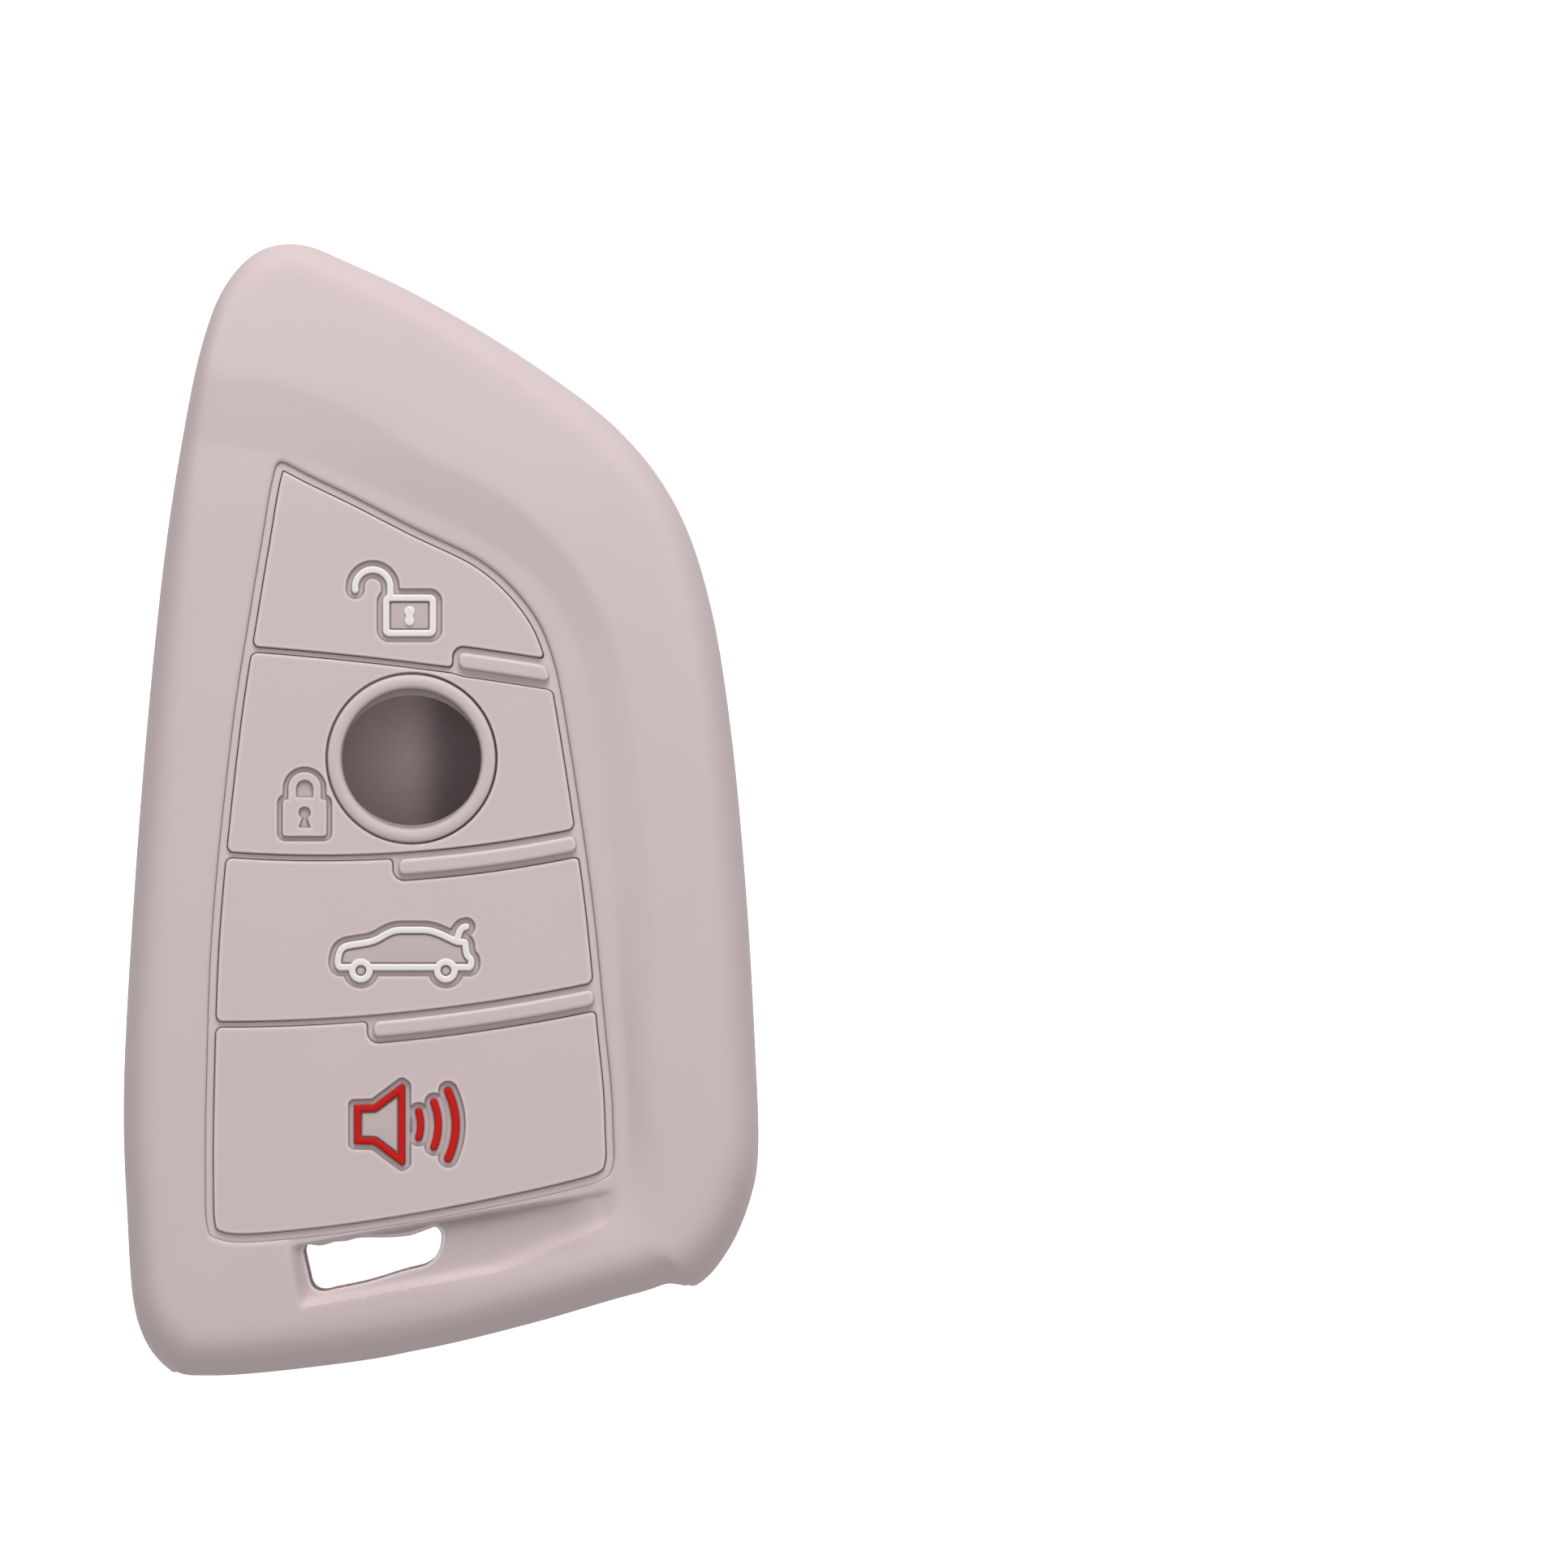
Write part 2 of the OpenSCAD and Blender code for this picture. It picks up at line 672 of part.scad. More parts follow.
module panic_pad() color("#cdbebf") pad_body() {
    panic_outline();
    horn_moat();
}
module horn_symbol() color("#d61e16") crowned(seat_gap - moat_depth, 0) horn_lines();
module sound_waves() color("#d61e16") crowned(seat_gap - moat_depth, 0) wave_lines();

sleeve();
button_web();
upper_bar();
middle_bar();
lower_bar();
unlock_pad();
unlock_symbol();
unlock_keyhole();
lock_pad();
badge_collar();
trunk_pad();
trunk_symbol();
panic_pad();
horn_symbol();
sound_waves();
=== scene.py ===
import json
from itertools import chain
from math import cos, radians, sin

import bmesh
import bpy
import numpy as np
from mathutils.geometry import delaunay_2d_cdt
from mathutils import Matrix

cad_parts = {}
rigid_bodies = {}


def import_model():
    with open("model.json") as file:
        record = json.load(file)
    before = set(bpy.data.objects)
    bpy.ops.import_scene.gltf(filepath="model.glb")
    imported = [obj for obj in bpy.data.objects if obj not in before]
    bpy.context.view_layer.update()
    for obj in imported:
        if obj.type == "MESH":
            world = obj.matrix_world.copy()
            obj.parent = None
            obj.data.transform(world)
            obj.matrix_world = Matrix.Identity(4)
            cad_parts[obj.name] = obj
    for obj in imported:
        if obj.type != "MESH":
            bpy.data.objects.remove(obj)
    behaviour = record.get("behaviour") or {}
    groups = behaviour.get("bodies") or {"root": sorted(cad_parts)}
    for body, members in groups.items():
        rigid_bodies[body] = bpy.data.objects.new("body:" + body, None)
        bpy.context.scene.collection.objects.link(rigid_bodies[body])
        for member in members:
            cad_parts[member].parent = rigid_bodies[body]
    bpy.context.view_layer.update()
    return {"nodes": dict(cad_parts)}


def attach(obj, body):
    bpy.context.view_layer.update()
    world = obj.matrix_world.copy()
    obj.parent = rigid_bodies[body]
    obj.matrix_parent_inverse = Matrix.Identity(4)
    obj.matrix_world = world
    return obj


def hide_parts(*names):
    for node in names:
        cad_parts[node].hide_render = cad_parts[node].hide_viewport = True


for leftover in list(bpy.data.objects):
    bpy.data.objects.remove(leftover, do_unlink=True)
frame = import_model()
print("frame loaded with", len(frame["nodes"]), "nodes")

mm = 0.001  # everything below is worked out in millimetres

# Sleeve: the body of the cover, lying on its back, narrow tip at +Y
cover = dict(
    width=49.7, length=88.5, thick=18.0, wall=1.3,
    rim=5.0, rimTaper=0.45, rimLimit=0.6, squareness=3.0, parting=8.2,
    crown=500.0, crestShare=-0.055, tipShare=0.25, tipFall=3.0, tipRise=2.0,
    recess=0.5, recessShare=0.16,
    ridge=0.92, ridgeTaper=0.28, ridgeSoft=0.07, fallOut=0.12, steeper=0.7,
    # where the ridge tapers, falls away outwards, gets steeper and fades
    taperX=(-12, 12), fallX=(-8, 14), fallY=(4, 24), steeperY=(-8, -20), fadeX=(-3, 14), fadeY=(-27, -33),
    middleShare=(-0.055, -0.03), badgeShare=(-0.045, 0.045),
    steps=16,            # columns from one station of the outline to the next
    bandAngle=78.0,      # where the rounded side band hands over to the front and back
    bandRows=14,
    shoulder=(0.42, 0.27),  # width and fall of the soft edge round the button panel
    spokeReach=(-0.3, 1.6), slopeLeast=0.05)
outlineShares = [
    (-0.430, -0.495), (-0.359, -0.5038), (-0.183, -0.495), (-0.017, -0.4803), (0.150, -0.4573),
    (0.306, -0.4318), (0.3985, -0.4222), (0.4515, -0.391), (0.4865, -0.3465), (0.500, -0.300),
    (0.495, -0.210), (0.481, -0.074), (0.457, 0.070), (0.423, 0.185), (0.368, 0.271),
    (0.274, 0.339), (0.124, 0.402), (-0.029, 0.453), (-0.145, 0.484), (-0.221, 0.500),
    (-0.288, 0.494), (-0.341, 0.463), (-0.375, 0.415), (-0.403, 0.343), (-0.435, 0.228),
    (-0.464, 0.070), (-0.487, -0.102), (-0.500, -0.249), (-0.495, -0.354), (-0.480, -0.449)]
panelShares = [
    (-0.354, -0.378), (-0.304, -0.382), (-0.170, -0.375), (-0.029, -0.363), (0.098, -0.349),
    (0.201, -0.336), (0.257, -0.326), (0.272, -0.312), (0.272, -0.285), (0.269, -0.246),
    (0.260, -0.196), (0.238, -0.074), (0.200, 0.070), (0.176, 0.136), (0.139, 0.179),
    (0.068, 0.218), (-0.042, 0.249), (-0.132, 0.275), (-0.202, 0.294), (-0.244, 0.306),
    (-0.256, 0.305), (-0.261, 0.298), (-0.269, 0.277), (-0.279, 0.242), (-0.297, 0.181),
    (-0.327, 0.070), (-0.358, -0.102), (-0.368, -0.253), (-0.369, -0.339), (-0.366, -0.368)]
backShares = [
    (-0.244, -0.312), (-0.202, -0.322), (-0.093, -0.319), (0.009, -0.310), (0.124, -0.299),
    (0.226, -0.290), (0.316, -0.284), (0.332, -0.276), (0.333, -0.253), (0.330, -0.224),
    (0.322, -0.160), (0.306, -0.038), (0.285, 0.084), (0.262, 0.156), (0.208, 0.210),
    (0.124, 0.255), (0.022, 0.289), (-0.081, 0.318), (-0.164, 0.340), (-0.215, 0.354),
    (-0.239, 0.357), (-0.247, 0.349), (-0.252, 0.325), (-0.256, 0.285), (-0.263, 0.199),
    (-0.276, 0.092), (-0.283, -0.059), (-0.281, -0.196), (-0.275, -0.267), (-0.262, -0.300)]
# The slope under the ridge: its foot and its crest, closed round outside the cover
ridgeFoot = [
    (-0.62, 0.295), (-0.430, 0.327), (-0.330, 0.320), (-0.262, 0.316), (-0.150, 0.295), (-0.036, 0.266),
    (0.070, 0.237), (0.150, 0.204), (0.200, 0.165), (0.228, 0.120), (0.262, -0.010), (0.276, -0.090),
    (0.288, -0.190), (0.296, -0.270), (0.298, -0.310), (0.290, -0.338), (0.262, -0.355), (0.200, -0.369),
    (0.080, -0.393), (-0.100, -0.430), (-0.350, -0.480), (-0.62, -0.530)]
ridgeCrest = [
    (-0.62, 0.370), (-0.430, 0.392), (-0.340, 0.383), (-0.250, 0.377), (-0.130, 0.350), (-0.036, 0.316),
    (0.090, 0.280), (0.190, 0.232), (0.258, 0.170), (0.292, 0.105), (0.315, 0.010), (0.330, -0.080),
    (0.342, -0.190), (0.352, -0.280), (0.366, -0.334), (0.366, -0.374), (0.318, -0.398), (0.225, -0.415),
    (0.080, -0.440), (-0.100, -0.475), (-0.350, -0.525), (-0.62, -0.575)]

# Mouth at the wide end
mouth = dict(
    leftShare=-0.425, rightShare=0.390, half=4.9, corner=2.0, blockRows=12,
    lipBulge=0.42, lipRows=7, backLower=0.7, backLowerReach=6.0,
    levelOut=6.0, pinLimit=0.62, endShare=-0.36,
    # the wavy edge left of the pointed corner at the right end
    waveX=18.3, waveWidth=1.5, waveHeight=0.5, waveEnd=19.95, waveFade=0.6, waveBelow=-30)

# Key-ring slot and the scooped recess that runs into it, on both sides
slot = dict(
    middleShare=(-0.109, -0.398), turn=10.0, edge=0.2, steps=4,
    stations=[
        (-4.55, 2.06), (-4.85, 1.94), (-5.04, 1.58), (-5.05, 1.2), (-5.04, 0.81), (-5.02, 0.35),
        (-4.99, -0.17), (-4.96, -0.79), (-4.79, -1.29), (-4.4, -1.62), (-3.86, -1.74), (-2.99, -1.69),
        (-1.95, -1.67), (-0.78, -1.62), (0.4, -1.51), (1.59, -1.35), (2.77, -1.22), (3.81, -1.16),
        (4.42, -0.99), (4.9, -0.69), (5.33, -0.22), (5.62, 0.38), (5.76, 0.93), (5.71, 1.36),
        (5.41, 1.7), (4.95, 1.65), (4.15, 1.5), (3.36, 1.39), (2.46, 1.43), (1.33, 1.57),
        (0.08, 1.8), (-0.81, 1.9), (-1.59, 1.82), (-2.48, 1.91), (-3.14, 1.84), (-3.78, 1.84)])
scoop = dict(
    endShare=(0.284, -0.3352), depth=1.6, length=25.5, opening=0.5, flatness=18.0,
    reach=[(0, 1.1), (0.8, 1.9), (1.6, 2.5), (3.8, 3.1), (7.1, 3.9), (10.5, 4.65), (25.5, 4.75)],
    flatter=[(11, 1.0), (16.5, 0.72), (25.5, 0.55)], wall=(25.5, 26.5), step=(-0.22, 0.34),
    closedEnd=1.8, soft=0.2, softBelow=0.6, softLeast=0.02, beyond=1.25, outside=6,
    ledge=0.36, ledgeFall=0.02, ledgeSlope=(0.15, 0.45), ledgeReach=1.3, ledgeEnds=(0.2, 3.6, 25.7, 26.7),
    # rows of points along the step and the lower edge, by their distance below each
    stepRows=(-0.8, -0.5, -0.3, -0.14, -0.02, 0.09, 0.2, 0.32, 0.5, 0.75),
    edgeRows=(-1.3, -1.0, -0.75, -0.55, -0.38, -0.22, -0.08, 0.08, 0.3))


def ramp(v, start, end):  # smooth step from 0 at start to 1 at end
    t = np.clip((v - start) / (end - start), 0, 1)
    return t * t * (3 - 2 * t)


def between(v, a, b, c, d):  # up from a to b, down from c to d
    return ramp(v, a, b) * (1 - ramp(v, c, d))


def placed(shares):
    return np.asarray(shares, float) * (cover["width"], cover["length"])


# A closed curve through all stations: each span is the cubic through its ends whose slopes
# are half the step between the neighbours on both sides
def looped(stations, steps):
    p = np.asarray(stations, float).reshape(len(stations), -1)
    a, b, c, d = (np.roll(p, k, 0)[:, None] for k in (1, 0, -1, -2))
    t = (np.arange(steps) / steps)[None, :, None]
    return (0.5 * (2 * b + (c - a) * t + (2 * a - 5 * b + 4 * c - d) * t ** 2
                   + (3 * b - a - 3 * c + d) * t ** 3)).reshape(-1, p.shape[1])


outline = looped(placed(outlineShares), cover["steps"])
# The wavy edge is a bell curve, cut off at the corner
x, y = outline.T
bell = np.exp(-((x - mouth["waveX"]) / mouth["waveWidth"]) ** 2)
bell *= np.clip((mouth["waveEnd"] - x) / mouth["waveFade"], 0, 1)
outline[:, 1] += mouth["waveHeight"] * bell * (y < mouth["waveBelow"])
panel = looped(placed(panelShares), cover["steps"])
backPanel = looped(placed(backShares), cover["steps"])
slopeFoot, slopeCrest = (looped(placed(shares), 8) for shares in (ridgeFoot, ridgeCrest))
middle = placed(cover["middleShare"])
badge = placed(cover["badgeShare"])
columns = len(outline)


def tipWay(y):
    return np.maximum(0, (y / cover["length"] - cover["tipShare"]) / (0.5 - cover["tipShare"]))


# Front level: a flat arc along the length, less a fall that grows with the square of the way
# to the tip; the back rises in the same way
def frontLevel(y):
    arc = np.sqrt(cover["crown"] ** 2 - (y - cover["crestShare"] * cover["length"]) ** 2)
    return cover["thick"] - cover["ridge"] + arc - cover["crown"] - cover["tipFall"] * tipWay(y) ** 2


def backLevel(y):
    return cover["tipRise"] * tipWay(y) ** 2


def inParts(count, size=3000):
    return np.array_split(np.arange(count), count // size + 1)


# Which spoke from start to end a point lies on, and its share of the way along it
def wayIn(q, start, end):
    spoke, (low, high) = end - start, cover["spokeReach"]
    place, share = np.zeros(len(q)), np.zeros(len(q))
    for part in inParts(len(q)):
        off = q[part, None] - start
        side = spoke[:, 0] * off[..., 1] - spoke[:, 1] * off[..., 0]
        along = (off * spoke).sum(-1) / (spoke ** 2).sum(1)
        sideNext, alongNext = np.roll(side, -1, 1), np.roll(along, -1, 1)
        found = (side <= 0) & (sideNext > 0) & (along > low) & (along < high)
        score = np.where(found, 0, 1e6) + np.hypot(off[..., 0], off[..., 1])
        i, row = score.argmin(1), np.arange(len(part))
        a, b = side[row, i], sideNext[row, i]
        f = np.clip(a / np.where(a == b, 1, a - b), 0, 1)
        place[part] = i + f
        share[part] = along[row, i] * (1 - f) + alongNext[row, i] * f
    return place, share


def roundAbout(values, place):
    i = np.floor(place).astype(int)
    f = place - i
    return values[i % len(values)] * (1 - f) + values[(i + 1) % len(values)] * f


def reachTo(guide):
    return np.hypot(*(guide - outline).T)


def rimWide(guide):
    taper = 1 - cover["rimTaper"] * (outline[:, 1] / cover["length"] + 0.5)
    return np.minimum(cover["rim"] * taper, cover["rimLimit"] * reachTo(guide))


# Raised ridge: nothing inside the foot of its slope, full height outside the crest, and between
# them a ramp by the share of the way, with soft corners
def ridgeLift(q):
    x, y = q.T
    fromFoot, fromCrest = signedTo(q, slopeFoot), signedTo(q, slopeCrest)
    t = fromFoot / np.maximum(fromFoot - fromCrest, cover["slopeLeast"])
    # At the lower right the slope is steepest at its foot
    steeper = 1 + cover["steeper"] * ramp(y, *cover["steeperY"]) * (x > 0)
    t = np.where((t > 0) & (t < 1), 1 - (1 - np.clip(t, 0, 1)) ** steeper, t)
    soft = cover["ridgeSoft"]
    rise = 0.5 * (1 + np.hypot(t, soft) - np.hypot(t - 1, soft))
    # Beyond the crest the top falls away towards the rim, most at the upper right
    along = ramp(x, *cover["fallX"]) * ramp(y, *cover["fallY"])
    # and along the bottom it fades out to the left
    faded = 1 - (1 - ramp(x, *cover["fadeX"])) * ramp(y, *cover["fadeY"])
    height = cover["ridge"] * (1 - cover["ridgeTaper"] * ramp(x, *cover["taperX"]))
    return height * np.clip(rise, 0, 1) * faded - cover["fallOut"] * along * np.maximum(fromCrest, 0)


# Rounded rim: a superellipse from the widest section up to the crest, flat beyond it
def rimHeight(q, guide, inset, crest):
    place, share = wayIn(q, outline, guide)
    reach, wide = roundAbout(reachTo(guide), place), roundAbout(rimWide(guide), place)
    t = np.clip((share * reach - inset) / (wide - inset), 0, 1)
    p = cover["squareness"]
    return cover["parting"] + (crest - cover["parting"]) * (1 - (1 - t) ** p) ** (1 / p)


# Run along the scoop's step from its closed end, and distance below the step
scoopEnd = placed(scoop["endShare"])
scoopAlong = np.array([cos(radians(slot["turn"])), sin(radians(slot["turn"]))])
scoopAcross = np.array([-scoopAlong[1], scoopAlong[0]])


def scoopPlace(q):
    return -(q - scoopEnd) @ scoopAlong, -(q - scoopEnd) @ scoopAcross


# Depth of the scoop along its run, and how far it reaches below its step
def scoopReach(run):
    depth = scoop["depth"] * np.clip(run / scoop["length"], 0, 1) ** scoop["opening"]
    depth = depth * np.interp(run, *zip(*scoop["flatter"]))
    return depth, np.interp(run, *zip(*scoop["reach"]))


# Depth of the scoop: a trough along the step, sinking quickly from its closed end, whose floor
# stays low and then rises with a power of the share of its reach
def scoopDip(q):
    run, fall = scoopPlace(q)
    depth, wide = scoopReach(run)
    dip = depth * (1 - np.clip(fall / wide, 0, scoop["beyond"]) ** scoop["flatness"])
    # A soft maximum with 0, less what it still adds well outside the scoop
    soft = scoop["soft"] * np.clip(depth / scoop["softBelow"], scoop["softLeast"], 1)
    excess = 0.5 * (np.hypot(scoop["outside"], soft) - scoop["outside"])
    dip = 0.5 * (dip + np.sqrt(dip ** 2 + soft ** 2)) - excess
    wall = 1 - ramp(run, *scoop["wall"])
    return dip * wall * ramp(run, 0, scoop["closedEnd"]) * ramp(fall, *scoop["step"]), run, fall


# The ledge between the panel and the step lies a little lower than the front
def ledgeDip(run, fall):
    start, width = scoop["ledgeSlope"]
    depth = scoop["ledge"] + scoop["ledgeFall"] * np.clip((-fall - start) / width, 0, 1)
    ends = between(run, *scoop["ledgeEnds"])
    return depth * ends * (1 - ramp(fall, *scoop["step"])) * (fall > -scoop["ledgeReach"])


clear = 50.0  # a distance at which no edge shows


# Quarter ellipse: fall at a distance d inside a rounded edge
def edgeFall(d, width, fall):
    d = np.where(d < 1e-4, 0, d)
    return fall * (1 - np.sqrt(np.clip(1 - (1 - np.clip(d / width, 0, 1)) ** 2, 0, 1)))


def frontSkin(q, fromPanel, fromSlot):
    base = rimHeight(q, panel, 0, frontLevel(q[:, 1]) + ridgeLift(q))
    dip, run, fall = scoopDip(q)
    edge = edgeFall(fromPanel, *cover["shoulder"])
    slotFall = edgeFall(fromSlot, slot["edge"], slot["edge"])
    return base - dip - np.maximum(edge, ledgeDip(run, fall)) - slotFall


def frontInside(q):
    return rimHeight(q, panel, cover["wall"], frontLevel(q[:, 1]) - cover["wall"]) - scoopDip(q)[0]


def backRecess(q):
    share = np.where(insidePath(q, backPanel), wayIn(q, backPanel, middle + 0 * backPanel)[1], 0)
    return cover["recess"] * ramp(share, 0, cover["recessShare"])


def backSkin(q, inset, fromSlot):
    base = rimHeight(q, backPanel, inset, backLevel(q[:, 1]) + inset)
    return base + backRecess(q) + scoopDip(q)[0] + edgeFall(fromSlot, slot["edge"], slot["edge"])


# Even-odd test, and distance to a closed path or an open line
def insidePath(q, path):
    a, b = path, np.roll(path, -1, 0)
    rise = np.where(a[:, 1] == b[:, 1], 1e-12, b[:, 1] - a[:, 1])
    inside = np.zeros(len(q), bool)
    for part in inParts(len(q)):
        x, y = q[part, 0, None], q[part, 1, None]
        crossed = (a[:, 1] > y) != (b[:, 1] > y)
        crossed &= x < (b[:, 0] - a[:, 0]) * (y - a[:, 1]) / rise + a[:, 0]
        inside[part] = crossed.sum(1) % 2 == 1
    return inside


def distanceTo(q, path, closed=True):
    a = path if closed else path[:-1]
    d = (np.roll(path, -1, 0) if closed else path[1:]) - a
    d2 = np.maximum((d ** 2).sum(1), 1e-12)
    far = np.zeros(len(q))
    for part in inParts(len(q)):
        x, y = q[part, 0, None] - a[:, 0], q[part, 1, None] - a[:, 1]
        t = np.clip((x * d[:, 0] + y * d[:, 1]) / d2, 0, 1)
        far[part] = np.sqrt(((x - t * d[:, 0]) ** 2 + (y - t * d[:, 1]) ** 2).min(1))
    return far


def signedTo(q, path):
    return distanceTo(q, path) * np.where(insidePath(q, path), -1, 1)


# A closed path moved out of itself by d, along its own normals (paths run anticlockwise)
def widened(path, d):
    way = np.roll(path, -1, 0) - np.roll(path, 1, 0)
    way /= np.hypot(*way.T)[:, None]
    return path + np.reshape(d, (-1, 1)) * np.column_stack([way[:, 1], -way[:, 0]])


# Lists of points as one, and where each starts in it
def stacked(parts):
    return np.concatenate(parts), np.cumsum([0] + [len(p) for p in parts])


# Triangles over closed loops, open lines and loose points; the input points' new numbers too
def triangulated(loops, lines, loose):
    points, starts = stacked([*loops, *lines, loose])
    edges = [np.column_stack([np.arange(len(p)), np.roll(np.arange(len(p)), -1)]) + s
             for p, s in zip(loops, starts)]
    edges += [np.column_stack([np.arange(len(p) - 1), np.arange(1, len(p))]) + s
              for p, s in zip(lines, starts[len(loops):])]
    return cdt(points, np.concatenate(edges))


def cdt(points, edges):
    found = delaunay_2d_cdt(points.tolist(), edges.tolist(), [], 0, 1e-5, True)
    q = np.array([tuple(v) for v in found[0]])
    faces = np.array(found[2])
    renamed = np.zeros(len(points), int)
    renamed[list(chain.from_iterable(found[3]))] = np.repeat(
        np.arange(len(q)), [len(v) for v in found[3]])
    a, b, c = q[faces[:, 0]], q[faces[:, 1]], q[faces[:, 2]]
    turn = (b - a)[:, 0] * (c - a)[:, 1] - (b - a)[:, 1] * (c - a)[:, 0]
    return q, faces[:, ::-1] if np.median(turn) < 0 else faces, renamed


def hexPoints(low, high, spacing):
    x, y = np.meshgrid(np.arange(low[0], high[0], spacing), np.arange(low[1], high[1], spacing * 0.866))
    return np.column_stack([(x + 0.5 * spacing * (np.arange(len(x)) % 2)[:, None]).ravel(), y.ravel()])


# Faces of a grid of points, rows by columns
def gridFaces(rows, cols, closed=False, flip=False, skip=None):
    r, c = np.meshgrid(np.arange(rows - 1), np.arange(cols if closed else cols - 1), indexing="ij")
    if skip is not None:
        keep = ~((r >= skip[0]) & (r < skip[1]) & (c >= skip[2]) & (c < skip[3]))
        r, c = r[keep], c[keep]
    r, c = r.ravel(), c.ravel()
    d = (c + 1) % cols
    quads = np.column_stack([r * cols + c, r * cols + d, (r + 1) * cols + d, (r + 1) * cols + c])
    return quads[:, ::-1] if flip else quads


def addObject(name, data):
    made = bpy.data.objects.new(name, data)
    bpy.context.scene.collection.objects.link(made)
    return made


# One mesh object from several patches of points and faces, in millimetres
def pieceFrom(name, patches, smoothUnder=34.0, weld=True, tone=None, paintedInsideLight=()):
    points, starts = stacked([p for p, _ in patches])
    faces = [f for (_, part), s in zip(patches, starts) for f in (part + s).tolist()]
    mesh = bpy.data.meshes.new(name)
    mesh.from_pydata((points * mm).tolist(), [], faces)
    if tone is not None:
        setTone(mesh, tone)
    # Faces of the listed patches take the paler colour painted inside as painted light
    inside = mesh.attributes.new("paintedInsideLight", "FLOAT", "FACE")
    inside.data.foreach_set("value", np.repeat([float(k in paintedInsideLight) for k in range(len(patches))],
                                               [len(part) for _, part in patches]))
    if weld:
        bm = bmesh.new()
        bm.from_mesh(mesh)
        bmesh.ops.remove_doubles(bm, verts=bm.verts, dist=1e-6)
        bmesh.ops.dissolve_degenerate(bm, edges=bm.edges, dist=1e-7)
        bmesh.ops.delete(bm, geom=[v for v in bm.verts if not v.link_faces], context="VERTS")
        bm.to_mesh(mesh)
        bm.free()
    mesh.shade_smooth()
    mesh.set_sharp_from_angle(angle=radians(smoothUnder))
    return addObject(name, mesh)


# Painted light of each point, read by the finishes: below 0 for painted shade in grooves, moats,
# creases and under steps, above 0 for a painted highlight along an edge
def setTone(mesh, tone):
    attribute = mesh.attributes.get("paintedShadeHighlight") or mesh.attributes.new("paintedShadeHighlight", "FLOAT", "POINT")
    attribute.data.foreach_set("value", np.asarray(tone, np.float32))


def meshPoints(mesh):
    spot = np.zeros(len(mesh.vertices) * 3)
    mesh.vertices.foreach_get("co", spot)
    return spot.reshape(-1, 3) / mm


# Sleeve
slotMiddle = placed(slot["middleShare"])
slotLoop = looped(slot["stations"], slot["steps"])
slotLoop = slotMiddle + slotLoop[:, :1] * scoopAlong + slotLoop[:, 1:] * scoopAcross
if ((slotLoop * np.roll(slotLoop, -1, 0)[:, ::-1]) @ (1, -1)).sum() < 0:
    slotLoop = slotLoop[::-1]


# Side band: points at angle a round the rim (0 at the widest section), drawn in by inset
def bandPoints(angles, inset):
    rows = []
    for a, front in angles:
        guide = panel if front else backPanel
        reach, wide = reachTo(guide), rimWide(guide)
        p = cover["squareness"]
        share = (inset + (wide - inset) * (1 - np.cos(a) ** (2 / p))) / reach
        q = outline + share[:, None] * (guide - outline)
        crest = (frontLevel(q[:, 1]) + (ridgeLift(q) if inset == 0 else -inset) if front
                 else backLevel(q[:, 1]) + inset)
        z = cover["parting"] + (crest - cover["parting"]) * np.sin(np.abs(a)) ** (2 / p)
        rows.append(np.column_stack([q, z]))
    return np.array(rows)


# Rows of the band: pinned at the mouth's height in every column, so that a block of cells
# between the two mouth ends is the opening
x = outline[:, 0]
bottomEnd = outline[:, 1] < mouth["endShare"] * cover["length"]
leftX, rightX = (cover["width"] * mouth[k] for k in ("leftShare", "rightShare"))
opening = np.flatnonzero(bottomEnd & (x > leftX) & (x < rightX))
ua, ub = opening.min(), opening.max()
inward = np.where(bottomEnd, np.minimum(x - x[ua], x[ub] - x), -clear)
near = np.clip(1 - np.abs(inward) / np.where(inward > 0, mouth["corner"], mouth["levelOut"]), 0, 1)
halfHeight = mouth["half"] - mouth["corner"] * (1 - np.sqrt(1 - near ** 2))
lower = mouth["backLower"] * ramp(-x, 0, mouth["backLowerReach"]) * bottomEnd
power = cover["squareness"] / 2
crestFront = frontLevel(outline[:, 1]) - cover["parting"]
crestBack = cover["parting"] - backLevel(outline[:, 1])
pinFront = np.arcsin(np.minimum(halfHeight / crestFront, mouth["pinLimit"]) ** power)
pinBack = np.arcsin(np.minimum((halfHeight - lower) / crestBack, mouth["pinLimit"]) ** power)
last, n, m = radians(cover["bandAngle"]), cover["bandRows"], mouth["blockRows"]
angles = ([(pinBack + (last - pinBack) * (k / n), False) for k in range(n, 0, -1)]
          + [(pinBack * (1 - k / (m // 2)), False) for k in range(m // 2)]
          + [(pinFront * (k / (m // 2)), True) for k in range(m // 2)]
          + [(pinFront + (last - pinFront) * (k / n), True) for k in range(n + 1)])
outer, inner = bandPoints(angles, 0), bandPoints(angles, cover["wall"])
inner[n + m // 2, :, :2] = 0.5 * (inner[n + m // 2 - 1, :, :2] + inner[n + m // 2 + 1, :, :2])
rows = len(angles)
block = (n, n + m, ua, ub)
patches = [(outer.reshape(-1, 3), gridFaces(rows, columns, True, False, block)),
           (inner.reshape(-1, 3), gridFaces(rows, columns, True, True, block))]
print("side band", outer.shape, "mouth columns", ua, ub)

